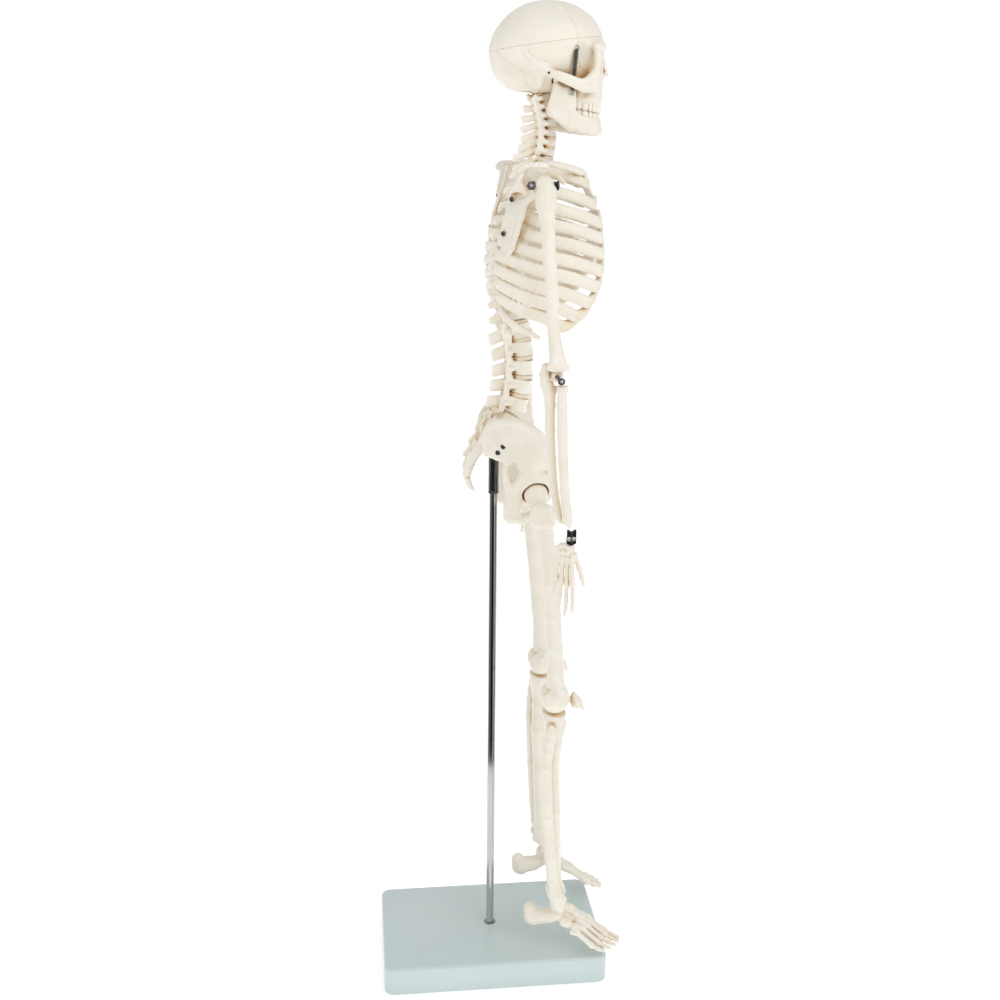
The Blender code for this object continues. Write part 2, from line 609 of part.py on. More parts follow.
def make_pelvis():
    hub = (-38, -27, 479, 5.5)
    waist = (-30, -4, 497, 4)
    crest = [(-26, 13, 517, 2.4), (-36, 5, 523, 2.4), (-49, -9, 525, 2.4), (-58, -21, 522, 2.4),
             (-62, -32, 514, 2.4), (-60, -39, 503, 2.8), (-47, -42, 487, 4)]
    ilium = fan(hub, crest[1:]) + fan(waist, crest[:3]) + [[hub, waist, crest[1]]]
    cup = [[(-33, -31, 463, 13.5), (-35.5, -29, 466, 13)]]
    pubis = chain([(-34, -38, 462, 5.5), (-19, -46, 463, 4), (-7, -48, 459, 4)])
    pubis += chain([(-7, -48, 459, 4), (-7, -46, 450, 3.8), (-18, -34, 439, 3.2), (-28, -22, 434, 4.2)])
    ischium = chain([(-34, -24, 455, 8), (-33, -13, 447, 6.5), (-32, -13, 437, 6), (-28, -22, 434, 4.2)])
    socket = ball_mesh(HIP, FEMUR_HEAD + 1.0)
    side = box_mesh((-90, -60, 436), (-46.3, -10, 482))
    mesh = cut(fused(ilium + cup + pubis + ischium, 420, 1.1), [socket, side])
    place_pair("hip_bone", mesh, BONE, "torso")
    place("pubic_disc", fused([[(0, -48.2, 459, 2.2), (0, -46.2, 450, 2.2)]], 60, 0.7), CARTILAGE, "torso")


def make_leg():
    neck = chain([(-45, -31.5, 459, 6.5), (-57, -34.5, 451, 6.2)])
    top = [[(*HIP, FEMUR_HEAD)], [(-60.5, -29, 454, 5.0), (-61, -38, 452, 5.5), (-59, -36, 443, 6.5)]]
    shaft = chain([(-58, -35.5, 444, 7.2), (-57, -38.5, 425, 6.3), (-55, -42.5, 395, 6.0),
                   (-51, -46.5, 355, 6.2), (-47.5, -49.5, 320, 6.6), (-44.5, -51, 295, 7.6)])
    knuckles = both_about([[(-51, -50, 276.5, CONDYLE - 1.4), (-51, -54.5, 277.5, 9.6), (-47, -51.5, 289, 6.5)]],
                          KNEE[0]) + [[(-50, -53, 278, 9.5), (-34, -53, 278, 9.5), (-44, -51, 292, 7)]]
    femur = fused(neck + top + shaft + knuckles, 320, 1.3)
    bolt_room = rod_mesh((-46, HIP[1], HIP[2]), (-28, HIP[1], HIP[2]), 1.9, sides=16)
    place_pair("femur", cut(femur, [bolt_room]), BONE, "thigh")
    bolt = rod_mesh((-45.4, HIP[1], HIP[2]), (-32.6, HIP[1], HIP[2]), 1.6, sides=16)
    place_pair("hip_bolt", bolt, DARK_STEEL, "hip_bolt")
    patella = [[(-42, -69.5, 279, 2.8), (-36.5, -72, 272, 2.4), (-47.5, -72, 272, 2.4), (-42, -75.5, 264, 2.0)]]
    place_pair("patella", fused(patella, 60, 0.9), BONE, "thigh")

    plateau = [[(-34.5, -51, 259, 4), (-49.5, -51, 259, 4), (-42, -58, 259, 4), (-42, -52, 246, 6.5)]]
    shin = chain([(-42, -52, 248, 7.2), (-42.3, -49.5, 230, 6.5), (-43, -48.5, 200, 6.0), (-44, -50, 150, 5.5),
                  (-44.5, -53, 110, 5.6), (-44, -55, 92, 6.2)])
    ankle = [[(-44, -55, 92, 6.2), (-50, -56.5, 84, 4.0), (-39, -56.5, 84, 4.0)],
             [(-38.0, -56.5, 86, 4), (-32.8, -57, 76, 2.2)]]
    dome = rod_mesh((-51.5, ANKLE[1], ANKLE[2]), (-36.6, ANKLE[1], ANKLE[2]), TALUS_DOME + 0.8, sides=24)
    place_pair("tibia", cut(fused(plateau + shin + ankle, 230, 1.2), [dome]), BONE, "shank")
    fibula = chain([(-56.5, -46.5, 249, 3.8), (-56.5, -46.5, 238, 2.2), (-56.5, -48.5, 200, 2.1),
                    (-56, -52, 130, 2.2), (-56, -55.5, 96, 2.4), (-57.3, -57, 80, 3.0), (-57, -57.5, 74, 2.6)])
    place_pair("fibula", fused(fibula, 130, 0.9), BONE, "shank")
    place("foot_right", foot_mesh(FOOT_YAW_RIGHT), BONE, "foot_right")
    place("foot_left", mirrored(foot_mesh(FOOT_YAW_LEFT)), BONE, "foot_left")


def both_about(solids, x):
    """The solids and their mirror images about the plane at x."""
    return solids + [[(2 * x - ball[0],) + tuple(ball[1:]) for ball in solid] for solid in solids]


def foot_mesh(yaw):
    """Right foot: (forward, outward, up) from the ankle's centre, turned outwards by yaw degrees."""
    rays = [
        ((27, -7, -15, 3.8), (42, -9, -27.5, 3.2), (55, -9, -33, 2.6)),
        ((28, -2, -14.5, 2.8), (44, -3.6, -28, 2.3), (57, -4, -33.5, 2.0)),
        ((26, 2.5, -15.5, 2.7), (42, 1.8, -29, 2.2), (54.5, 1.8, -33.6, 1.9)),
        ((24, 6.5, -17, 2.7), (39, 7.0, -30, 2.2), (50.5, 7.4, -33.6, 1.9)),
        ((17, 11, -19, 3.2), (35, 12.3, -31, 2.2), (45.5, 12.6, -33.6, 1.9)),
    ]
    solids = [[(0, -2.6, 0, 5.6), (0, 2.6, 0, 5.6), (0, 0, 0, TALUS_DOME)],
              [(0, 0, -3, 6), (12, -2.5, -5.5, 5.0)],
              [(0, 2, -8, 6), (-8, 2, -11, 6.0), (-22, 1, -16.8, 7.8)],
              [(-4, 3, -10, 6), (13, 7, -13, 5)],
              [(12, -2.5, -5.5, 5), (18, -3.5, -9, 5), (13, 7, -13, 5)],
              [(18, -3.5, -9, 5), (25, -5, -13.5, 4.4), (24, 4, -15, 4), (14, 8, -15, 4)]]
    for ray in rays:
        solids += chain(ray)
    angle = math.radians(yaw)
    placed = []
    for solid in solids:
        placed.append([(ANKLE[0] - out * math.cos(angle) - ahead * math.sin(angle),
                        ANKLE[1] - ahead * math.cos(angle) + out * math.sin(angle), ANKLE[2] + up, r)
                       for ahead, out, up, r in solid])
    return fused(placed, 380, 1.0)


# ---------------------------------------------------------------- everything

for old in list(bpy.data.objects):
    bpy.data.objects.remove(old)

BONE = material("ivory_plastic", IVORY, 0.35, 0.0)
CARTILAGE = material("cartilage_plastic", (0.86, 0.80, 0.70), 0.4, 0.0)
BASE_PLASTIC = material("base_plastic", PALE_BLUE, 0.25, 0.0)
CHROME = material("chrome", STEEL, 0.12, 1.0)
DARK_STEEL = material("dark_steel", (0.25, 0.25, 0.26), 0.3, 1.0)
EMPTIES = make_empties()

make_stand()
make_skull()
make_spine()
make_ribs()
make_girdle()
make_arm()
make_pelvis()
make_leg()
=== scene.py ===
"""Looks of the human skeleton teaching model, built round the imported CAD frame.

The script thinks in millimetres and scales to metres when it makes meshes. The skeleton faces
-Y and its right side is -X. A bone is carved as a signed distance on a grid (negative inside)
from balls (x, y, z, r), the limbs and webs between them, and ovals, and is then skinned with
quads. Right bones are mirrored for the left side.
"""
import math
from collections import namedtuple
from itertools import combinations

import bmesh
import bpy
import numpy as np
from mathutils import Matrix, Vector


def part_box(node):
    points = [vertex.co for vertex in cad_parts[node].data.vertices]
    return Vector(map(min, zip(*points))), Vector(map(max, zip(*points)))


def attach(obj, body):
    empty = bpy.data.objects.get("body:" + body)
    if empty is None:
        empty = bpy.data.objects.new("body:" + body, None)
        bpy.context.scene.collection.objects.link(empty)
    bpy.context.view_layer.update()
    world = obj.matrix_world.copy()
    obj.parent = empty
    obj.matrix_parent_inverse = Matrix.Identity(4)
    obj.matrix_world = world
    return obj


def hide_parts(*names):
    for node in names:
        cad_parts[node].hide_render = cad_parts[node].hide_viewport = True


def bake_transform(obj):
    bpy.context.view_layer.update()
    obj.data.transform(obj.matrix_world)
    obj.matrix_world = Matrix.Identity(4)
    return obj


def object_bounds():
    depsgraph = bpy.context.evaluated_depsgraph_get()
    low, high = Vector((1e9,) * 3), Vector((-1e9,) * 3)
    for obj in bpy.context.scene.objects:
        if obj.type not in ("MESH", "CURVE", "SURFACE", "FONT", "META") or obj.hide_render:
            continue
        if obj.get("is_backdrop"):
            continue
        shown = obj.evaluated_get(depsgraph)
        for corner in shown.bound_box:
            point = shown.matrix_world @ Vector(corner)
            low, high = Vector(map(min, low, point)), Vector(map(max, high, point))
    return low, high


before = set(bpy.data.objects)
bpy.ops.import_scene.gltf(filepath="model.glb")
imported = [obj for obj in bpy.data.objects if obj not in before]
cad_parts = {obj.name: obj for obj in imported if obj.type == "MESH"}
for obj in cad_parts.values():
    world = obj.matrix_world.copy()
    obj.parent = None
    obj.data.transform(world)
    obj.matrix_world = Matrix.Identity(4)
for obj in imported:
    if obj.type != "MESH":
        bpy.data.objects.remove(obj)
cad_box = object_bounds()

MM = 0.001
FAR = 30.0                      # distance stored where nothing is near
SIDES = ("right", "left")
UPRIGHT = np.eye(3)             # a drum's axes: its height along Z, X or Y
ALONG_X = ((0, 0, 1), (0, 1, 0), (1, 0, 0))
ALONG_Y = ((1, 0, 0), (0, 0, 1), (0, 1, 0))
SHARP = 40                      # degrees between faces past which a fitting's edge shows sharp

Shape = namedtuple("Shape", "distance low high")


# ---------------------------------------------------------------- fields

def soft_min(a, b, blend):
    """The smaller of two distances, rounded where they meet."""
    if blend <= 0:
        return np.minimum(a, b)
    h = np.clip(0.5 + 0.5 * (b - a) / blend, 0, 1)
    return b + (a - b) * h - blend * h * (1 - h)


class Field:
    """A signed distance on a grid; with mirror, only x <= 0 is stored."""

    def __init__(self, low, high, step, mirror=False):
        self.step = step
        self.mirror = mirror
        low, high = np.array(low, float), np.array(high, float)
        if mirror:
            high[0] = 0.0
        counts = np.ceil((high - low) / step).astype(int) + 1
        if mirror:
            low[0] = -(counts[0] - 1) * step
        self.axes = [(low[i] + step * np.arange(counts[i])).astype(np.float32) for i in range(3)]
        self.value = np.full(tuple(counts), FAR, np.float32)

    def window(self, shape, pad):
        spans = []
        for axis, a, b in zip(self.axes, shape.low, shape.high):
            first = int(np.searchsorted(axis, a - pad))
            spans.append(slice(first, max(first, int(np.searchsorted(axis, b + pad)))))
        spans = tuple(spans)
        return spans, shape.distance(*np.ix_(*[axis[s] for axis, s in zip(self.axes, spans)]))

    def add(self, shapes, blend=1.0):
        for shape in as_list(shapes):
            spans, near = self.window(shape, blend + 2 * self.step)
            self.value[spans] = soft_min(self.value[spans], near, blend)

    def cut(self, shapes, blend=0.6):
        for shape in as_list(shapes):
            spans, near = self.window(shape, blend + 2 * self.step)
            self.value[spans] = -soft_min(-self.value[spans], near, blend)

    def everywhere(self, distance):
        """A distance function on the whole grid."""
        return distance(*np.ix_(*self.axes))

    def whole(self):
        """The grid's values and lowest corner, both sides."""
        value = self.value
        if self.mirror:
            value = np.concatenate([value, value[-2::-1]], axis=0)
        return value, np.array([axis[0] for axis in self.axes], float)


def as_list(value):
    return [value] if isinstance(value, Shape) else list(value)


def bounds_of(balls):
    balls = np.array(balls, float)
    return ((balls[:, :3] - balls[:, 3:]).min(axis=0), (balls[:, :3] + balls[:, 3:]).max(axis=0))


def limb(a, b):
    """A rounded cone between two balls."""
    a, b = np.array(a, float), np.array(b, float)
    axis = b[:3] - a[:3]
    span = max(axis @ axis, 1e-9)

    def distance(x, y, z):
        px, py, pz = x - a[0], y - a[1], z - a[2]
        t = np.clip((px * axis[0] + py * axis[1] + pz * axis[2]) / span, 0, 1)
        off = np.sqrt((px - t * axis[0]) ** 2 + (py - t * axis[1]) ** 2 + (pz - t * axis[2]) ** 2)
        return off - (a[3] + t * (b[3] - a[3]))
    return Shape(distance, *bounds_of([a, b]))


def web(a, b, c):
    """A plate between three balls."""
    balls = [np.array(ball, float) for ball in (a, b, c)]
    p, q, r = [ball[:3] for ball in balls]
    u, v = q - p, r - p
    uu, uv, vv = u @ u, u @ v, v @ v
    area = uu * vv - uv * uv
    edges = [limb(balls[i], balls[j]) for i, j in ((0, 1), (1, 2), (2, 0))]
    if area < 1e-6:
        return Shape(lambda x, y, z: np.minimum.reduce([e.distance(x, y, z) for e in edges]),
                     *bounds_of(balls))

    def distance(x, y, z):
        px, py, pz = x - p[0], y - p[1], z - p[2]
        du = px * u[0] + py * u[1] + pz * u[2]
        dv = px * v[0] + py * v[1] + pz * v[2]
        s = (vv * du - uv * dv) / area
        t = (uu * dv - uv * du) / area
        off = np.sqrt((px - s * u[0] - t * v[0]) ** 2 + (py - s * u[1] - t * v[1]) ** 2
                      + (pz - s * u[2] - t * v[2]) ** 2)
        face = off - (balls[0][3] * (1 - s - t) + balls[1][3] * s + balls[2][3] * t)
        rim = np.minimum.reduce([e.distance(x, y, z) for e in edges])
        return np.where((s >= 0) & (t >= 0) & (s + t <= 1), np.minimum(face, rim), rim)
    return Shape(distance, *bounds_of(balls))


def solid(*balls):
    """The filled solid between a few balls."""
    if len(balls) == 2:
        return limb(*balls)
    if len(balls) == 3:
        return web(*balls)
    webs = [web(*three) for three in combinations(balls, 3)]
    fills = []
    for four in combinations([np.array(ball, float)[:3] for ball in balls], 4):
        sides = np.array([four[1] - four[0], four[2] - four[0], four[3] - four[0]]).T
        if abs(np.linalg.det(sides)) > 1e-3:
            fills.append((four[0], np.linalg.inv(sides)))

    def distance(x, y, z):
        near = np.minimum.reduce([w.distance(x, y, z) for w in webs])
        for origin, turn in fills:
            px, py, pz = x - origin[0], y - origin[1], z - origin[2]
            s = [row[0] * px + row[1] * py + row[2] * pz for row in turn]
            within = (s[0] > 0) & (s[1] > 0) & (s[2] > 0) & (s[0] + s[1] + s[2] < 1)
            near = np.where(within, np.minimum(near, -1.0), near)
        return near
    return Shape(distance, *bounds_of(balls))


def chain(balls):
    """A limb through several balls."""
    return [limb(a, b) for a, b in zip(balls, balls[1:])]


def sheet(first, second):
    """A plate between two rows of balls."""
    shapes = []
    for a, b, c, d in zip(first, first[1:], second, second[1:]):
        shapes += [web(a, b, c), web(b, c, d)]
    return shapes


def fan(centre, rim):
    """A plate from one ball to a row of balls."""
    return [web(centre, a, b) for a, b in zip(rim, rim[1:])]


def oval(centre, radii, tilt=0.0, turn=0.0):
    """An ellipsoid, tilted about X and turned about Z by degrees."""
    turn, tilt = math.radians(turn), math.radians(tilt)
    axes = np.array(Matrix.Rotation(turn, 3, "Z") @ Matrix.Rotation(tilt, 3, "X"))
    radii = np.array(radii, float)

    def distance(x, y, z):
        px, py, pz = x - centre[0], y - centre[1], z - centre[2]
        local = [axes[0][i] * px + axes[1][i] * py + axes[2][i] * pz for i in range(3)]
        k = np.sqrt(sum((local[i] / radii[i]) ** 2 for i in range(3)))
        slope = np.sqrt(sum((local[i] / radii[i] ** 2) ** 2 for i in range(3)))
        return k * (k - 1) / np.maximum(slope, 1e-6)
    reach = np.sqrt(((axes * radii) ** 2).sum(axis=1))
    return Shape(distance, np.array(centre) - reach, np.array(centre) + reach)


def block(low, high, corner=0.0):
    """A box with rounded corners."""
    low, high = np.array(low, float), np.array(high, float)
    centre, half = (low + high) / 2, (high - low) / 2 - corner

    def distance(x, y, z):
        q = [np.abs(c - centre[i]) - half[i] for i, c in enumerate((x, y, z))]
        outside = np.sqrt(sum(np.maximum(d, 0) ** 2 for d in q))
        return outside + np.minimum(np.maximum(np.maximum(q[0], q[1]), q[2]), 0) - corner
    return Shape(distance, low, high)


def band(path, outward, height, thickness, power=2.6):
    """A strap of flattened oval section along a path; outward(point) is its flat face's normal.

    height and thickness are half sizes at each point of the path."""
    shapes = []
    path = [np.array(p, float) for p in path]
    for i in range(len(path) - 1):
        a, b = path[i], path[i + 1]
        axis = b - a
        span = axis @ axis
        along = axis / math.sqrt(span)
        normal = np.array(outward((a + b) / 2), float)
        normal -= along * (normal @ along)
        normal /= np.linalg.norm(normal)
        across = np.cross(along, normal)
        ends = (height[i], height[i + 1], thickness[i], thickness[i + 1])
        shapes.append(strap(a, axis, span, along, normal, across, ends, power))
    return shapes


def strap(a, axis, span, along, normal, across, ends, power):
    high0, high1, thick0, thick1 = ends

    def distance(x, y, z):
        px, py, pz = x - a[0], y - a[1], z - a[2]
        t = np.clip((px * axis[0] + py * axis[1] + pz * axis[2]) / span, 0, 1)
        qx, qy, qz = px - t * axis[0], py - t * axis[1], pz - t * axis[2]
        high = high0 + t * (high1 - high0)
        thick = thick0 + t * (thick1 - thick0)
        w = np.abs(qx * along[0] + qy * along[1] + qz * along[2]) / thick
        v = np.abs(qx * normal[0] + qy * normal[1] + qz * normal[2]) / thick
        u = np.abs(qx * across[0] + qy * across[1] + qz * across[2]) / high
        return ((u ** power + v ** power + w ** power) ** (1 / power) - 1) * thick
    reach = max(ends)
    both_ends = np.array([a, a + axis])
    return Shape(distance, both_ends.min(axis=0) - reach, both_ends.max(axis=0) + reach)


def drum(half_width, half_depth, half_height, waist=0.0, edge=0.8):
    """An upright oval drum at the origin, narrower by waist at mid height."""
    def distance(x, y, z):
        slim = 1 - waist * np.clip(1 - (z / half_height) ** 2, 0, 1)
        k = np.sqrt((x / (half_width * slim)) ** 2 + (y / (half_depth * slim)) ** 2)
        wall = (k - 1) * min(half_width, half_depth)
        return -soft_min(-wall, -(np.abs(z) - half_height), edge)
    reach = np.array([half_width, half_depth, half_height])
    return Shape(distance, -reach, reach)


def seated(shape, origin, axes):
    """A shape moved to origin and turned so that its X, Y, Z run along the rows of axes."""
    axes = np.array(axes, float)
    origin = np.array(origin, float)

    def distance(x, y, z):
        px, py, pz = x - origin[0], y - origin[1], z - origin[2]
        return shape.distance(*[row[0] * px + row[1] * py + row[2] * pz for row in axes])
    corners = [(x, y, z) for x in (shape.low[0], shape.high[0]) for y in (shape.low[1], shape.high[1])
               for z in (shape.low[2], shape.high[2])]
    corners = np.array(corners) @ axes + origin
    return Shape(distance, corners.min(axis=0), corners.max(axis=0))


def smooth_path(points, count):
    """Points on a Catmull-Rom curve through the given points."""
    p = np.array([points[0]] + list(points) + [points[-1]], float)
    path = []
    for t in np.linspace(0, len(points) - 1, count):
        i = min(int(t), len(points) - 2)
        s = t - i
        a, b, c, d = p[i:i + 4]
        path.append(0.5 * (2 * b + (c - a) * s + (2 * a - 5 * b + 4 * c - d) * s * s
                           + (3 * b - a - 3 * c + d) * s ** 3))
    return [tuple(q) for q in path]


# ---------------------------------------------------------------- skins and pieces

def skin(field):
    """Vertices (mm) and quads of a field's zero level, by surface nets."""
    value, low = field.whole()
    inside = value < 0
    shape = np.array(value.shape) - 1
    count = np.zeros(tuple(shape), np.int8)
    corners = [(i, j, k) for i in (0, 1) for j in (0, 1) for k in (0, 1)]
    for i, j, k in corners:
        count += inside[i:shape[0] + i, j:shape[1] + j, k:shape[2] + k]
    cells = np.argwhere((count > 0) & (count < 8))
    number = np.full(tuple(shape), -1, np.int64)
    number[tuple(cells.T)] = np.arange(len(cells))
    total = np.zeros((len(cells), 3))
    hits = np.zeros(len(cells))
    for a in corners:
        for axis in range(3):
            if a[axis]:
                continue
            b = tuple(1 if i == axis else a[i] for i in range(3))
            va = value[tuple((cells + a).T)]
            vb = value[tuple((cells + b).T)]
            crossed = (va < 0) != (vb < 0)
            t = va / np.where(crossed, va - vb, 1)
            spot = np.array(a, float) + t[:, None] * (np.array(b) - np.array(a))
            total += np.where(crossed[:, None], spot, 0)
            hits += crossed
    points = (cells + total / hits[:, None]) * field.step + low
    quads = []
    for axis in range(3):
        u, v = (axis + 1) % 3, (axis + 2) % 3
        head = [slice(None)] * 3
        tail = [slice(None)] * 3
        head[axis], tail[axis] = slice(0, -1), slice(1, None)
        crossed = np.argwhere(inside[tuple(head)] != inside[tuple(tail)])
        for side in (u, v):
            crossed = crossed[(crossed[:, side] > 0) & (crossed[:, side] < shape[side])]
        ring = []
        for du, dv in ((-1, -1), (0, -1), (0, 0), (-1, 0)):
            cell = crossed.copy()
            cell[:, u] += du
            cell[:, v] += dv
            ring.append(number[tuple(cell.T)])
        ring = np.stack(ring, axis=1)
        outward = inside[tuple(crossed.T)]
        quads.append(np.where(outward[:, None], ring, ring[:, ::-1]))
    return points, np.concatenate(quads)


def main_island(points, quads):
    """The mesh without its small loose islands."""
    label = np.arange(len(points))
    pairs = np.concatenate([quads[:, [i, (i + 1) % 4]] for i in range(4)])
    while True:
        low = np.minimum(label[pairs[:, 0]], label[pairs[:, 1]])
        new = label.copy()
        np.minimum.at(new, pairs[:, 0], low)
        np.minimum.at(new, pairs[:, 1], low)
        new = new[new]
        if (new == label).all():
            break
        label = new
    names, counts = np.unique(label, return_counts=True)
    keep = label == names[counts.argmax()]
    order = np.cumsum(keep) - 1
    return points[keep], order[quads[keep[quads].all(axis=1)]]


def relaxed(points, quads, rounds=2):
    """The mesh with its grid steps evened out, without shrinking it."""
    pairs = np.concatenate([quads[:, [i, (i + 1) % 4]] for i in range(4)])
    degree = np.bincount(pairs.ravel(), minlength=len(points))[:, None]
    for strength in (0.5, -0.52) * rounds:
        mean = np.zeros_like(points)
        for i in range(3):
            mean[:, i] = (np.bincount(pairs[:, 0], points[pairs[:, 1], i], len(points))
                          + np.bincount(pairs[:, 1], points[pairs[:, 0], i], len(points)))
        points = points + strength * (mean / degree - points)
    return points


def quad_mesh(points, quads):
    """A mesh in metres from points in millimetres."""
    mesh = bpy.data.meshes.new("skin")
    mesh.vertices.add(len(points))
    mesh.vertices.foreach_set("co", (np.asarray(points) * MM).astype(np.float32).ravel())
    mesh.loops.add(4 * len(quads))
    mesh.loops.foreach_set("vertex_index", np.asarray(quads, np.int32).ravel())
    mesh.polygons.add(len(quads))
    mesh.polygons.foreach_set("loop_start", np.arange(0, 4 * len(quads), 4, dtype=np.int32))
    mesh.update(calc_edges=True)
    mesh.validate()
    return mesh


def carved(field):
    """The smooth skin of a field as a mesh."""
    points, quads = main_island(*skin(field))
    return quad_mesh(relaxed(points, quads), quads)


def mirrored(mesh):
    copy = mesh.copy()
    copy.transform(Matrix.Scale(-1, 4, Vector((1, 0, 0))))
    copy.flip_normals()
    return copy


def piece(name, mesh, body, finish, nodes=(), sharp=None):
    """Show a mesh as a named piece on a body."""
    mesh.materials.clear()
    mesh.materials.append(finish)
    mesh.shade_smooth()
    if sharp:
        mesh.set_sharp_from_angle(angle=math.radians(sharp))
    obj = bpy.data.objects.new(name, mesh)
    bpy.context.scene.collection.objects.link(obj)
    if body:
        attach(obj, body)
    if nodes:
        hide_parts(*nodes)
    return obj


def bone(name, mesh, body, nodes):
    # Painted light: the vertebrae take the lighter copy of the bone finish.
    finish = SPINE_BONE_PAINTED_LIGHTER if name.endswith("vertebrae") else BONE
    return piece(name, mesh, body, finish, nodes)


def bone_pair(name, mesh, body, node):
    """A right-side bone and its mirror image."""
    left = mirrored(mesh)
    for side, shape in zip(SIDES, (mesh, left)):
        bone(f"{name}_{side}", shape, body if body == "torso" else f"{body}_{side}", [f"{node}_{side}"])


def steel_pair(*rows):
    """Right-side steel pieces and then their mirror images.

    A row is (name, mesh, body, finish, CAD node or None, sharp angle or None).
    """
    lefts = [mirrored(row[1]) for row in rows]
    for side, meshes in zip(SIDES, ([row[1] for row in rows], lefts)):
        for (name, _, body, finish, node, sharp), mesh in zip(rows, meshes):
            nodes = [f"{node}_{side}"] if node else ()
            piece(f"{name}_{side}", mesh, f"{body}_{side}", finish, nodes, sharp)


def finished(shape, name):
    """The mesh of a bmesh that is done with."""
    mesh = bpy.data.meshes.new(name)
    shape.to_mesh(mesh)
    shape.free()
    return mesh


def capped_tube(shape, rings):
    """Quads between rings of as many vertices each, and a cap at both ends."""
    for a, b in zip(rings, rings[1:]):
        for k in range(len(a)):
            m = (k + 1) % len(a)
            shape.faces.new((a[k], a[m], b[m], b[k]))
    shape.faces.new(rings[0][::-1])
    shape.faces.new(rings[-1])


def joined(meshes):
    """Several meshes as one mesh."""
    shape = bmesh.new()
    for mesh in meshes:
        shape.from_mesh(mesh)
        bpy.data.meshes.remove(mesh)
    return finished(shape, "joined")


def on_both_sides(meshes):
    """Right-side meshes and their mirror images as one mesh."""
    return joined(meshes + [mirrored(mesh) for mesh in meshes])


def lathe(profile, sides=48):
    """A closed solid of revolution about Z.

    The (radius, z) outline starts and ends on the axis, or stays off it and closes on itself.
    """
    closed = profile[0][0] > 0
    shape = bmesh.new()
    rings = []
    for r, z in profile:
        if r == 0:
            rings.append([shape.verts.new((0, 0, z * MM))])
        else:
            rings.append([shape.verts.new((r * MM * math.cos(2 * math.pi * k / sides),
                                           r * MM * math.sin(2 * math.pi * k / sides), z * MM))
                          for k in range(sides)])
    following = rings[1:] + ([rings[0]] if closed else [])
    for a, b in zip(rings, following):
        for k in range(sides):
            m = (k + 1) % sides
            if len(a) == 1:
                shape.faces.new((a[0], b[k], b[m]))
            elif len(b) == 1:
                shape.faces.new((a[k], b[0], a[m]))
            else:
                shape.faces.new((a[k], b[k], b[m], a[m]))
    bmesh.ops.recalc_face_normals(shape, faces=shape.faces)
    return finished(shape, "lathe")


def aimed(mesh, place, direction):
    """The mesh with its Z axis turned along direction and its origin moved to place (mm)."""
    turn = Vector(direction).to_track_quat("Z", "Y").to_matrix().to_4x4()
    mesh.transform(Matrix.Translation(Vector(place) * MM) @ turn)
    return mesh


def wire(path, radius, sides=8):
    """A round tube along a path (mm), closed at both ends."""
    path = [Vector(p) for p in path]
    shape = bmesh.new()
    rings = []
    side = None
    for i, p in enumerate(path):
        along = (path[min(i + 1, len(path) - 1)] - path[max(i - 1, 0)]).normalized()
        if side is None:
            side = along.orthogonal().normalized()
        side = (side - along * side.dot(along)).normalized()
        other = along.cross(side)
        rings.append([shape.verts.new((p + (side * math.cos(2 * math.pi * k / sides)
                                            + other * math.sin(2 * math.pi * k / sides)) * radius) * MM)
                      for k in range(sides)])
    capped_tube(shape, rings)
    return finished(shape, "wire")


# ---------------------------------------------------------------- materials

class Nodes:
    """Shorthand for building one material's nodes."""

    def __init__(self, name):
        self.material = bpy.data.materials.new(name)
        self.material.use_nodes = True
        self.tree = self.material.node_tree
        self.shader = self.tree.nodes["Principled BSDF"]

    def set(self, **values):
        for key, value in values.items():
            self.shader.inputs[key.replace("_", " ")].default_value = value

    def new(self, kind, **settings):
        node = self.tree.nodes.new(kind)
        for key, value in settings.items():
            if key in node.inputs:
                node.inputs[key].default_value = value
            else:
                setattr(node, key, value)
        return node

    def link(self, source, target):
        self.tree.links.new(source, target)

    def noise(self, scale, detail=3.0, stretch=(1, 1, 1)):
        """Noise in object space, in cycles per metre."""
        where = self.new("ShaderNodeTexCoord")
        mapping = self.new("ShaderNodeMapping")
        mapping.inputs["Scale"].default_value = stretch
        texture = self.new("ShaderNodeTexNoise", Scale=scale, Detail=detail)
        self.link(where.outputs["Object"], mapping.inputs["Vector"])
        self.link(mapping.outputs["Vector"], texture.inputs["Vector"])
        return texture.outputs["Fac"]

    def ramp(self, source, stops):
        """Colours along a 0 to 1 value."""
        node = self.new("ShaderNodeValToRGB")
        elements = node.color_ramp.elements
        while len(elements) < len(stops):
            elements.new(0.5)
        for element, (spot, colour) in zip(elements, stops):
            element.position = spot
            element.color = (*colour, 1)
        self.link(source, node.inputs["Fac"])
        return node.outputs["Color"]

    def tint(self, first, second):
        """One colour multiplied by another."""
        node = self.new("ShaderNodeMix", data_type="RGBA", blend_type="MULTIPLY")
        node.inputs["Factor"].default_value = 1.0
        self.link(first, node.inputs["A"])
        self.link(second, node.inputs["B"])
        return node.outputs["Result"]

    def bump(self, source, strength, distance):
        node = self.new("ShaderNodeBump", Strength=strength, Distance=distance)
        self.link(source, node.inputs["Height"])
        return node

    def levels(self, source, low, high):
        """A 0 to 1 value spread over a new range."""
        node = self.new("ShaderNodeMapRange")
        node.inputs["To Min"].default_value = low
        node.inputs["To Max"].default_value = high
        self.link(source, node.inputs["Value"])
        return node.outputs["Result"]


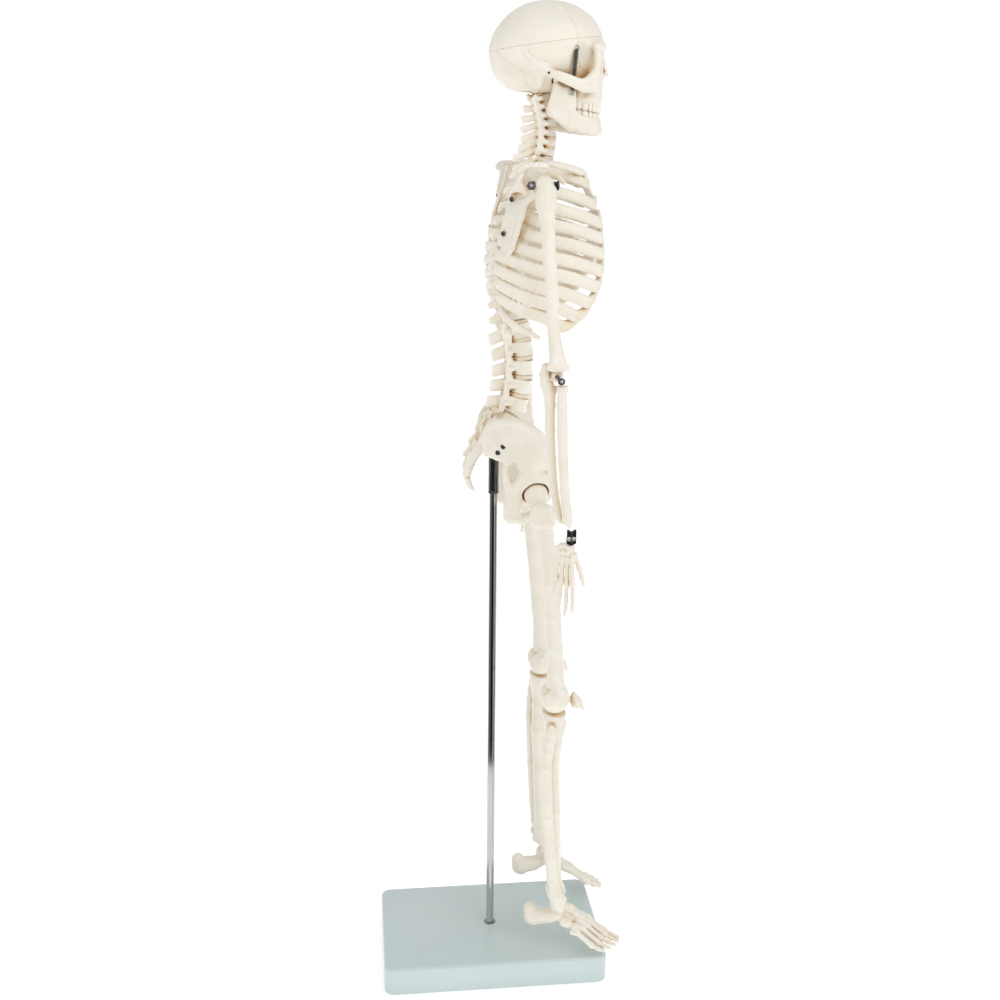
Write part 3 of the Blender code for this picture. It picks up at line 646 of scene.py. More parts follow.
def cast_plastic(name, pale, deep, crevice_shade_stops, reach):
    """Glossy cast plastic with painted shade: its colour turns warm brown where faces crowd together, by
    ambient occlusion.
    """
    n = Nodes(name)
    body = n.ramp(n.noise(45.0, 4.0), [(0.35, deep), (0.65, pale)])
    closeness = n.new("ShaderNodeAmbientOcclusion", samples=8, Distance=reach)
    # Painted shade: the ambient occlusion picks a colour from the crevice stops, which darkens the body
    # colour in crevices and between parts.
    painted_shade = n.ramp(closeness.outputs["AO"], crevice_shade_stops)
    n.link(n.tint(body, painted_shade), n.shader.inputs["Base Color"])
    n.link(n.levels(n.noise(160.0, 3.0), 0.24, 0.40), n.shader.inputs["Roughness"])
    grain = n.bump(n.noise(1400.0, 2.0), 0.05, 0.0002)
    swell = n.bump(n.noise(170.0, 3.0), 0.22, 0.0006)
    n.link(swell.outputs["Normal"], grain.inputs["Normal"])
    n.link(grain.outputs["Normal"], n.shader.inputs["Normal"])
    n.set(Coat_Weight=0.3, Coat_Roughness=0.12, Subsurface_Weight=0.08, Subsurface_Scale=0.003)
    return n.material


def metal(name, dark, bright, rough, stretch, scale=400.0):
    """Plated or burnished steel with drawing lines."""
    n = Nodes(name)
    lines = n.noise(scale, 3.0, stretch)
    n.link(n.ramp(lines, [(0.3, dark), (0.7, bright)]), n.shader.inputs["Base Color"])
    n.link(n.levels(lines, *rough), n.shader.inputs["Roughness"])
    scratch = n.bump(n.noise(scale * 3, 2.0, stretch), 0.04, 0.0001)
    n.link(scratch.outputs["Normal"], n.shader.inputs["Normal"])
    n.set(Metallic=1.0)
    return n.material


def moulded_base():
    """Pale blue-grey moulded plastic with a fine leather grain and light rubbing marks."""
    n = Nodes("moulded_base")
    body = n.ramp(n.noise(14.0, 4.0), [(0.3, (0.570, 0.668, 0.665)), (0.7, (0.600, 0.698, 0.694))])
    # Painted shade: ambient occlusion within 30 mm darkens the colour to as little as 0.72 of it where other
    # faces are close, at the slab's foot and round the rod.
    edge = n.new("ShaderNodeAmbientOcclusion", samples=8, Distance=0.03)
    shade = n.ramp(edge.outputs["AO"], [(0.0, (0.72, 0.74, 0.74)), (0.8, (1, 1, 1))])
    n.link(n.tint(body, shade), n.shader.inputs["Base Color"])
    n.link(n.levels(n.noise(60.0, 5.0), 0.20, 0.27), n.shader.inputs["Roughness"])
    grain = n.bump(n.noise(900.0, 3.0), 0.06, 0.0002)
    n.link(grain.outputs["Normal"], n.shader.inputs["Normal"])
    n.set(Coat_Weight=0.35, Coat_Roughness=0.08)
    return n.material


# Painted shade for the cast plastics: warm brown in crevices and between parts where ambient occlusion is
# low, white in the open. The cartilage and teeth carry their own darker, shorter-reaching stops.
PAINTED_CREVICE_SHADE = [(0.0, (0.48, 0.16, 0.03)), (0.20, (0.84, 0.52, 0.23)), (0.42, (0.98, 0.88, 0.69)),
            (0.68, (1.0, 0.98, 0.94)), (0.88, (1.0, 1.0, 1.0))]
BONE = cast_plastic("ivory_bone", (0.885, 0.840, 0.745), (0.845, 0.795, 0.690), PAINTED_CREVICE_SHADE, 0.015)
# Painted light: the vertebrae get a lighter copy of the bone finish, whose crevice shade also reaches less
# far, to lift them out of the shade their close neighbours cast.
SPINE_BONE_PAINTED_LIGHTER = cast_plastic("ivory_spine_painted_lighter", (0.965, 0.925, 0.835), (0.935, 0.890, 0.790), PAINTED_CREVICE_SHADE, 0.010)
CARTILAGE = cast_plastic("cream_cartilage", (0.86, 0.78, 0.63), (0.82, 0.73, 0.57),
                         [(0.0, (0.30, 0.11, 0.03)), (0.4, (0.80, 0.55, 0.32)), (0.8, (1.0, 1.0, 1.0))],
                         0.006)
TOOTH = cast_plastic("tooth_enamel", (0.93, 0.90, 0.84), (0.90, 0.86, 0.78),
                     [(0.0, (0.60, 0.34, 0.16)), (0.4, (0.94, 0.80, 0.62)), (0.8, (1.0, 1.0, 1.0))], 0.0025)
CHROME = metal("polished_chrome", (0.46, 0.46, 0.45), (0.64, 0.64, 0.63), (0.07, 0.13), (1, 1, 0.02))
SPRING_STEEL = metal("spring_steel", (0.10, 0.10, 0.10), (0.30, 0.30, 0.30), (0.16, 0.30), (1, 1, 1))
DARK_STEEL = metal("dark_steel", (0.035, 0.035, 0.04), (0.20, 0.20, 0.21), (0.16, 0.34), (1, 1, 0.05))
BRIGHT_STEEL = metal("bright_steel", (0.62, 0.62, 0.61), (0.86, 0.86, 0.85), (0.30, 0.42), (1, 1, 1))
BASE_PLASTIC = moulded_base()


# ---------------------------------------------------------------- stand

BASE_LOW, BASE_HIGH = [Vector(corner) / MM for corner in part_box("base")]
ROD_LOW, ROD_HIGH = [Vector(corner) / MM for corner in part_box("rod")]
SLEEVE_LOW, SLEEVE_HIGH = [Vector(corner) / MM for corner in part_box("rod_sleeve")]
ROD_RADIUS = ROD_HIGH.x
SLEEVE_RADIUS = SLEEVE_HIGH.x


def rounded_slab(width, length, corner, levels, steps=12):
    """A rounded rectangle lofted through (inset, z) levels and capped."""
    shape = bmesh.new()
    loops = []
    for inset, z in levels:
        loop = []
        radius = max(corner - inset, 0.5)
        for quarter, (sx, sy) in enumerate(((1, 1), (-1, 1), (-1, -1), (1, -1))):
            cx = sx * (width / 2 - inset - radius)
            cy = sy * (length / 2 - inset - radius)
            for k in range(steps + 1):
                angle = math.pi / 2 * (quarter + k / steps)
                loop.append(shape.verts.new(((cx + radius * math.cos(angle)) * MM,
                                             (cy + radius * math.sin(angle)) * MM, z * MM)))
        loops.append(loop)
    capped_tube(shape, loops)
    return finished(shape, "slab")


def make_stand():
    edge, foot = 3.0, 0.8
    top = BASE_HIGH.z
    levels = [(foot + 2.0, 0.0), (foot, 0.2), (foot, 0.9), (0.0, 1.0), (0.0, 1.4)]
    levels += [(edge * (1 - math.cos(a)), top - edge * (1 - math.sin(a)))
               for a in np.linspace(0, math.pi / 2, 9)]
    levels += [(edge + 6.0, top)]
    slab = rounded_slab(BASE_HIGH.x - BASE_LOW.x, BASE_HIGH.y - BASE_LOW.y, 9.0, levels)
    piece("base_slab", slab, "stand", BASE_PLASTIC, ["base"], sharp=35)
    ring = lathe([(ROD_RADIUS, top - 2), (5.2, top - 2), (5.2, top + 0.1), (5.0, top + 0.35),
                  (4.6, top + 0.45),
                  (4.3, top + 0.3), (4.1, top - 0.2), (ROD_RADIUS, top - 0.4)])
    piece("rod_ferrule", ring, "stand", DARK_STEEL)

    r, low, high = ROD_RADIUS, ROD_LOW.z, ROD_HIGH.z
    rod = lathe([(0, low), (r, low)] + [(r, low + (high - low) * t) for t in np.linspace(0.02, 0.98, 25)]
                + [(r, high - 1.2), (r - 0.4, high - 0.4), (r - 1.2, high), (0, high)], 64)
    piece("rod_tube", rod, "stand", CHROME, ["rod"], sharp=35)

    r, low, high = SLEEVE_RADIUS, SLEEVE_LOW.z, SLEEVE_HIGH.z
    bore = ROD_RADIUS + 0.1
    sleeve = lathe([(bore, low), (r - 0.3, low), (r + 0.15, low + 0.4), (r + 0.15, low + 1.8),
                    (r - 0.25, low + 2.3),
                    (r, low + 2.9), (r, high - 0.5), (r - 0.5, high), (bore, high)], 64)
    piece("sleeve_tube", sleeve, "torso", DARK_STEEL, ["rod_sleeve"], sharp=35)


# ---------------------------------------------------------------- screws

def screw_head(radius, height):
    """A domed cross-slot head with a collar, standing on Z = 0."""
    step = radius / 14
    low, high = (-radius - 1, -radius - 1, -1.2), (radius + 1, radius + 1, height + 1)
    f = Field(low, high, step)
    f.add(seated(drum(radius, radius, 0.45, edge=0.3), (0, 0, 0.1), UPRIGHT), 0)
    f.add(oval((0, 0, 0.2), (radius * 0.86, radius * 0.86, height)), 0.2)
    slot = radius * 0.13
    for x, y in ((radius * 0.6, slot), (slot, radius * 0.6)):
        f.cut(block((-x, -y, height * 0.35), (x, y, height + 2)), 0.1)
    f.cut(block((-radius - 2, -radius - 2, -3), (radius + 2, radius + 2, -0.4)), 0.05)
    return carved(f)


def screw(place, direction, radius=2.3, height=1.5):
    return aimed(screw_head(radius, height), place, direction)


# ---------------------------------------------------------------- skull

CUT_BACK, CUT_HEIGHT, CUT_SLOPE = 5.0, 812.0, -12.0 / 88.0      # the cap's cut: Z at Y, and its slope
WALL = 2.6
SKULL_STEP = 0.55
SKULL_GRID = ((-39, -94, 762), (39, 12, 856))


CROWN_Y, BROW_HEIGHT, CROWN_DRAW = -41, 814, 0.0031             # the draw is per mm above the brow


def domed(shape):
    """A shape drawn in towards its crown from front and back."""
    def distance(x, y, z):
        draw = 1 + CROWN_DRAW * np.clip(z - BROW_HEIGHT, 0, None)
        return shape.distance(x, CROWN_Y + (y - CROWN_Y) * draw, z)
    return Shape(distance, shape.low, shape.high)


def brain_case():
    """The closed outer form of the brain case on the right half."""
    f = Field(*SKULL_GRID, SKULL_STEP, mirror=True)
    f.add(domed(oval((0, -37.0, 814.0), (33.3, 43.6, 36.4))), 0)
    f.add(domed(oval((0, -52.5, 820.0), (28.5, 32.3, 27.6))), 8)
    f.add(oval((0, -20.6, 802.0), (26.4, 22.6, 18.6)), 6)
    f.cut(oval((-32.3, -66, 802), (9.5, 9.5, 16), turn=-12), 5)
    f.cut(block((-60, -60, 700), (60, 30, 781.8)), 4)
    return f


def above_cut(lift):
    """Distance below the cap's cut; negative above it."""
    run = math.hypot(1, CUT_SLOPE)
    return lambda x, y, z: (CUT_HEIGHT + CUT_SLOPE * (y - CUT_BACK) + lift - z) / run + 0 * x


def brain_floor(x, y, z):
    """Distance above the floor of the brain's hollow, which rises over the eyes."""
    return (z - (800 - 0.55 * (y + 45))) / 1.14 + 0 * x


def groove(f, points, radius=0.45, depth=0.05, waves=0.5):
    """Engrave a suture through (y, z) points on the right side of the field's surface."""
    path = []
    for i, (y, z) in enumerate(smooth_path(points, 8 * len(points))):
        z += waves * math.sin(2.4 * i)
        j = int(np.argmin(np.abs(f.axes[1] - y)))
        k = int(np.argmin(np.abs(f.axes[2] - z)))
        column = f.value[:, j, k]
        hits = np.nonzero(column < 0)[0]
        if len(hits):
            path.append((float(f.axes[0][hits[0]]) - depth, y, z, radius))
    f.cut(chain(path), 0.35)


def make_skull():
    case = brain_case()
    hollow = -soft_min(-(case.value + WALL), case.everywhere(brain_floor), 5)
    cut = case.everywhere(above_cut(0.0))

    head = Field(*SKULL_GRID, SKULL_STEP, mirror=True)
    head.value = case.value.copy()
    brow = chain([(-3, -81.6, 813.5, 3.0), (-11, -81.0, 816.5, 3.0), (-20, -78.2, 816.6, 2.9),
                  (-26.6, -74.8, 814.8, 2.8)])
    head.add(brow, 3.5)
    head.add(chain([(-26.6, -74.8, 815, 2.7), (-27.0, -75.6, 806, 2.6), (-26.8, -74.8, 797, 2.9)]), 2.5)
    head.add(solid((-26.5, -72.0, 791, 3.6), (-26, -71.5, 784.8, 3.8), (-18, -77, 789, 3.6),
                   (-19, -75.5, 784, 3.4)), 2)
    head.add(chain([(-26.5, -73.5, 794, 3.0), (-18, -77.6, 793.6, 2.4), (-8.5, -80.8, 796, 2.4),
                    (-5.5, -83.0, 806, 2.2)]), 2)
    head.add(chain([(-26.8, -73.6, 796, 2.8), (-29.2, -68.5, 790.5, 2.6), (-31.2, -63, 788.6, 2.2)]), 3)
    arch = smooth_path([(-27.5, -68.5, 785.5), (-31.2, -61.5, 786.6), (-33.2, -53, 789.8),
                        (-33.4, -45.5, 792.4),
                        (-31.6, -38.5, 795.2), (-29.5, -31, 799.5)], 16)
    tall = np.interp(range(16), (0, 4, 10, 15), (4.4, 3.6, 2.9, 2.0))
    thick = np.interp(range(16), (0, 4, 10, 15), (2.6, 1.7, 1.6, 2.0))
    head.add(band(arch, lambda p: (-1, (p[1] + 48) * -0.02, 0), tall, thick), 1.4)
    head.add(chain([(-29.4, -31, 799.5, 1.9), (-29.3, -24, 804.0, 1.3), (-29.6, -18, 809.0, 0.8)]), 2.2)
    head.add(solid((-6, -78, 797, 5), (-11, -74, 796, 6), (-8, -78.6, 777.5, 4.5), (-14, -70, 778, 5)), 2.5)
    head.add(solid((-3, -79.2, 777, 4.2), (-8, -78, 777, 4.4), (-4, -66, 779, 3.5), (-13, -68, 779, 4)), 2)
    gum = [(0, -80.0, 775.2, 3.6), (-6.5, -78.6, 775.4, 3.7), (-12, -74.2, 775.6, 3.8),
           (-15.6, -68, 775.8, 3.9),
           (-17, -61, 776.4, 4.0)]
    head.add(chain(gum), 2)
    head.add(solid((-16, -61, 780, 3.8), (-12, -64, 786, 6), (-18, -66, 785, 3.5)), 3)
    head.add(solid((-8, -52, 786, 4.5), (-8, -60, 784, 4.5), (-12, -60, 795, 8)), 3)
    head.add(chain([(-9.5, -54, 786, 2.2), (-10.5, -55, 777, 1.5)]), 2)
    head.add(chain([(-24.6, -28.8, 797, 7.4), (-25.0, -28.8, 787.6, 4.4)]), 5)
    head.add(chain([(-26, -41, 792.4, 3.4), (-28.5, -38.5, 794, 3.0)]), 2)
    head.add(chain([(-7.5, -31, 784, 3.4), (-6.0, -37, 785, 3.2)]), 2.5)
    head.add(chain([(0, -82.4, 811, 2.6), (0, -84.6, 804.5, 2.0), (0, -87.4, 797.5, 1.2)]), 2.4)
    head.add(chain([(-2.2, -86.6, 797.5, 1.0), (-5.8, -82.4, 791, 1.5), (-6.2, -81.6, 784.5, 1.7)]), 1.6)

    head.value = np.maximum(head.value, -hollow)
    head.value = np.maximum(head.value, -cut)
    head.cut(oval((-15.4, -84.5, 804.6), (8.9, 9.0, 8.3), tilt=6), 1.4)
    head.cut(oval((-14.2, -80.0, 804.3), (7.5, 9.0, 7.1), tilt=3, turn=-10), 2.5)
    head.cut(oval((-13.0, -74, 804.0), (5.8, 11.0, 5.8), turn=-16), 3)
    head.cut(oval((0, -86, 789.6), (4.6, 9.5, 6.4)), 0.8)
    head.cut(oval((-18.5, -83.5, 785.5), (5.5, 4.6, 4.4)), 2.5)
    head.cut(limb((-40, -36.6, 795.2, 1.1), (-29.4, -36.6, 794.9, 0.9)), 0.5)
    head.cut(limb((0, -24.5, 765, 6.2), (0, -24.5, 800, 6.6)), 1.2)
    head.cut(limb((-27.4, -43, 791.2, 3.5), (-20, -43, 791.2, 3.5)), 0.6)
    head.cut(limb((0, -38, 760, 1.9), (0, -38, 796, 1.9)), 0)
    head.add(chain([(0, -84.6, 804.5, 1.6), (0, -87.9, 796.2, 1.2)]), 0.8)
    head.add(chain([(0, -79.5, 784.6, 1.6), (0, -82.6, 785.4, 0.8)]), 1)
    head.cut(solid((-21.2, -20.5, 787, 1.0), (-21.0, -31.5, 785, 1.0), (-21.6, -26, 780, 1.0)), 1.0)
    head.add(solid((0, -84, 796, 0.5), (0, -72, 796, 0.5), (0, -82.5, 784.5, 0.5), (0, -72, 785, 0.5)), 0.4)
    groove(head, [(3.0, 812.5), (-3.5, 805.0), (-10, 799.5), (-16, 797.0)])
    groove(head, [(-16, 797.0), (-19.5, 791.5), (-22.5, 785.5)], waves=0.3)
    groove(head, [(-19.5, 812.2), (-23.5, 806.8), (-30, 803.5), (-34.5, 803.5)], 0.4, waves=0.15)
    groove(head, [(-59, 818.5), (-58.2, 812), (-60, 806), (-62, 799)], 0.4, waves=0.25)
    bone("cranium_shell", carved(head), "skull", ["cranium"])

    cap = Field(*SKULL_GRID, SKULL_STEP, mirror=True)
    cap.value = np.maximum(case.value, -(case.value + WALL))
    cap.value = np.maximum(cap.value, case.everywhere(above_cut(-0.15)))
    groove(cap, [(-48.5, 847), (-52.5, 840), (-55.4, 833.4), (-58.8, 826.8), (-58.9, 821.4)], 0.45, waves=0.3)
    groove(cap, [(-14, 843), (-7, 836), (-1, 826), (2.2, 816)], 0.45, waves=0.5)
    bone("skull_cap", carved(cap), "calvarium", ["calvarium"])


def tooth(size, square=4.0):
    """A rounded block tooth at the origin, narrower towards the gum (+Z)."""
    shape = bmesh.new()
    rows, columns = 8, 12
    rings = []
    for i in range(1, rows):
        lat = math.pi * (i / rows - 0.5)
        ring = []
        for k in range(columns):
            lon = 2 * math.pi * k / columns
            d = [math.cos(lat) * math.cos(lon), math.cos(lat) * math.sin(lon), math.sin(lat)]
            scale = sum(abs(c) ** square for c in d) ** (-1 / square)
            narrow = 1 - 0.14 * max(0.0, d[2] * scale)
            ring.append(shape.verts.new((d[0] * scale * narrow * size[0] * MM,
                                         d[1] * scale * narrow * size[1] * MM,
                                         d[2] * scale * size[2] * MM)))
        rings.append(ring)
    capped_tube(shape, rings)
    return finished(shape, "tooth")


def teeth(upper):
    """A row of fourteen teeth round the dental arch."""
    widths = [4.4, 3.5, 3.9, 3.7, 3.7, 5.2, 5.0] if upper else [3.0, 3.2, 3.7, 3.8, 3.9, 5.3, 5.1]
    half_width, depth, back = (17.6, 22.4, -59.5) if upper else (16.9, 21.6, -59.5)
    curve = [(-half_width * math.sin(a), back - depth * math.cos(a)) for a in np.linspace(0, math.pi / 2, 80)]
    lengths = np.concatenate([[0], np.cumsum([math.dist(p, q) for p, q in zip(curve, curve[1:])])])
    fit = lengths[-1] * 0.985 / sum(widths)
    meshes = []
    run = 0.0
    for i, width in enumerate(widths):
        width *= fit
        at = run + width / 2
        run += width
        x, y = (np.interp(at, lengths, [p[axis] for p in curve]) for axis in (0, 1))
        ahead = [np.interp(at + 0.5, lengths, [p[axis] for p in curve]) for axis in (0, 1)]
        yaw = math.atan2(ahead[1] - y, ahead[0] - x)
        bite = 766.0 + 0.145 * (y + 82)
        tall = (4.6 if i < 3 else 3.9) if upper else (3.9 if i < 3 else 3.5)
        middle = bite + tall - 0.15 if upper else bite - tall
        half = (width * 0.515, 1.8 + 0.14 * i, tall)
        mesh = tooth(half)
        turn = Matrix.Rotation(yaw, 4, "Z")
        if not upper:
            turn = turn @ Matrix.Rotation(math.pi, 4, "X")
        mesh.transform(Matrix.Translation(Vector((x, y, middle)) * MM) @ turn)
        meshes += [mirrored(mesh), mesh]
    return joined(meshes)


def make_jaw():
    f = Field((-33, -90, 744), (33, -30, 798), 0.55, mirror=True)
    top, front_top = (-26.0, -43.6, 786, 2.1), (-24.8, -57.0, 782.5, 1.7)
    f.add(web(top, front_top, (-23.2, -56.2, 769, 2.6)), 0)
    f.add(web(top, (-23.0, -39.4, 768, 2.2), (-23.2, -56.2, 769, 2.6)), 1)
    f.add(chain([(-26, -43.2, 791.4, 2.1), top, (-23.0, -39.2, 768, 2.3), (-22.8, -40.5, 765.5, 2.4)]), 1.5)
    f.add(limb((-23.6, -43, 791.4, 2.4), (-27.4, -43, 791.4, 2.3)), 1.2)
    f.add(chain([(-24.6, -56.4, 788.5, 1.1), (-24.8, -57.2, 782, 1.8), (-22.8, -58.2, 772, 2.6)]), 1.5)
    f.cut(oval((-25, -49.9, 791.5), (9, 4.8, 6.5)), 1.0)
    f.add(web((-22.8, -40.5, 765.5, 2.4), (-23.2, -56.5, 769, 2.6), (-23.2, -55, 755, 2.8)), 2)
    upper = [(-22.5, -58, 766, 3.1), (-19.5, -63, 762.0, 3.3), (-16.0, -69.5, 760.6, 3.3),
             (-10.5, -76.0, 760.0, 3.3),
             (-4.5, -79.8, 760.0, 3.2), (0, -80.4, 760.0, 3.2)]
    lower = [(-23.2, -55.5, 755.2, 2.9), (-20.2, -63.5, 754.0, 3.0), (-15.8, -71.5, 753.1, 3.1),
             (-9.8, -78.0, 752.4, 3.2), (-4.5, -80.3, 753.0, 3.5), (0, -80.8, 753.6, 3.4)]
    f.add(sheet(upper, lower), 1.2)
    f.add(chain([(-6.5, -81.2, 752.6, 2.4), (0, -81.6, 755.5, 2.3)]), 2)
    f.cut(oval((-18.6, -73.5, 757.4), (0.9, 0.9, 0.8)), 0.6)
    bone("mandible_body", carved(f), "jaw", ["mandible"])
    piece("upper_teeth", teeth(True), "skull", TOOTH)
    piece("lower_teeth", teeth(False), "jaw", TOOTH)

    high, low = Vector((-31.0, -58.0, 811.2)), Vector((-28.9, -55.9, 783.8))
    axis = low - high
    side = axis.orthogonal().normalized()
    other = axis.normalized().cross(side)
    turns, per_turn, radius = 27, 12, 1.45
    helix = []
    for k in range(turns * per_turn + 1):
        angle = 2 * math.pi * k / per_turn
        spoke = (side * math.cos(angle) + other * math.sin(angle)) * radius
        helix.append(high + axis * (k / (turns * per_turn)) + spoke)
    coil = wire(helix, 0.4, 6)
    ends = [wire([Vector((-29.5, -58.2, 813.4)), Vector((-31, -58.2, 812.6)), high + side * radius], 0.4, 6),
            wire([low + side * radius, Vector((-28.8, -55.8, 782.2)), Vector((-27.6, -55.8, 781.6))], 0.4, 6)]
    right = joined([coil] + ends)
    left = mirrored(right)
    for side_name, mesh, sign in (("right", right, 1), ("left", left, -1)):
        spring = piece(f"spring_{side_name}", mesh, None, SPRING_STEEL, [f"jaw_spring_{side_name}"])
        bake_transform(spring)
    for body, place, out in (("skull", (-29.6, -58.2, 813.6), (-1, -0.25, 0.2)),
                             ("jaw", (-27.0, -55.8, 781.4), (-1, -0.1, 0))):
        head = screw(place, out, 2.7, 2.2)
        piece(f"{body}_spring_screws", joined([mirrored(head), head]), body, BRIGHT_STEEL)
    pin = lathe([(0, 778), (1.5, 778), (1.5, 792.4), (1.1, 793), (0, 793)], 24)
    pin.transform(Matrix.Translation((0, -38 * MM, 0)))
    piece("neck_stud", pin, "torso", DARK_STEEL, ["neck_pin"], sharp=35)


# ---------------------------------------------------------------- spine

CERVICAL = [(778, -38), (772, -39.5), (765.5, -41.5), (758.5, -43), (751, -43), (743.5, -42.6), (736, -41.5)]
THORACIC = [(727, -39.5), (716, -35.5), (705, -31), (694, -27), (683.3, -23.5), (672.4, -21),
            (661.5, -19), (650.6, -18), (639.7, -17.5), (628.8, -17.2), (617.9, -17.3), (607, -18)]
LUMBAR = [(593, -20.5), (578, -23.2), (562, -24), (546, -23), (530.5, -19.5)]
LEVELS = CERVICAL + THORACIC + LUMBAR


def level_frame(index):
    """The middle of a vertebral body and its own X, Y (back) and Z (up) axes."""
    above, below = LEVELS[max(index - 1, 0)], LEVELS[min(index + 1, len(LEVELS) - 1)]
    up = np.array([0, above[1] - below[1], above[0] - below[0]], float)
    up /= np.linalg.norm(up)
    z, y = LEVELS[index]
    return np.array([0, y, z], float), np.array([[1, 0, 0], [0, up[2], -up[1]], up])


NECK_TIPS = [(-23.4, 777), (-20.6, 768.4), (-19, 760.6), (-19, 753.2), (-19, 745.8), (-16.7, 738.8),
             (-12.8, 731.4),
             (-12.6, 723.6)]                              # (Y, Z) ends of the first eight spinous processes


def local_tip(index):
    """How far back and up a spinous process ends, in its vertebra's own axes."""
    origin, axes = level_frame(index)
    y, z = NECK_TIPS[index]
    step = np.array([0, y, z]) - origin
    return float(step @ axes[1]), float(step @ axes[2])


def place_balls(balls, origin, axes):
    """Balls given as (out, back, up, r) in a vertebra's own axes, in the row frame."""
    placed = []
    for out, back, up, r in balls:
        x, y, z = origin + out * axes[0] + back * axes[1] + up * axes[2]
        placed.append((x, y, z, r))
    return placed


def vertebra(f, index, wide, deep, tall, pillar, spinous, wing):
    """One vertebra: drum, pedicles, articular pillars, laminae, spinous and side processes.

    pillar is (out, back, top, bottom, r) and wing (out, back, up, r). spinous is a row of
    (back, up, r) in pairs, upper edge and lower edge.
    """
    origin, axes = level_frame(index)

    def put(*balls):
        return solid(*place_balls(balls, origin, axes))
    f.add(seated(drum(wide, deep, tall, 0.10, 1.0), origin, axes), 0)
    out, back, top, bottom, r = pillar
    high, low = tall - r * 0.9, -tall * 0.12
    f.add(put((-wide * 0.62, deep * 0.5, high, r * 0.9), (-out, back, high, r * 0.9),
              (-wide * 0.62, deep * 0.5, low, r * 0.8), (-out, back, low, r * 0.8)), 1.0)
    f.add(put((-out, back, top, r), (-out * 0.9, back + 1.2, bottom, r * 0.92)), 0.8)
    root = (0, spinous[0][0], spinous[0][1], spinous[0][2])
    f.add(put((-out, back + 0.5, tall * 0.5, r * 0.8), (-out * 0.9, back + 1.2, bottom * 0.55, r * 0.8),
              root), 0.8)
    for a, b, c, d in zip(spinous[0::2], spinous[2::2], spinous[1::2], spinous[3::2]):
        f.add(put((0, *a), (0, *b), (0, *c), (0, *d)), 0.5)
    far_out, wing_back, wing_up, wing_r = wing
    f.add(put((-out, back, tall * 0.1, wing_r * 1.25), (-far_out, wing_back, wing_up, wing_r)), 1.2)
    if index == 0:
        f.cut(put((0, 0, 9, 4.2), (0, 0, -1, 2.0)), 0.5)


def disc(f, index, wide, deep, tall):
    """The disc under a vertebra."""
    a, axes = level_frame(index)
    b, _ = level_frame(index + 1)
    f.add(seated(drum(wide, deep, tall, -0.06, 0.6), (a + b) / 2, axes), 0)


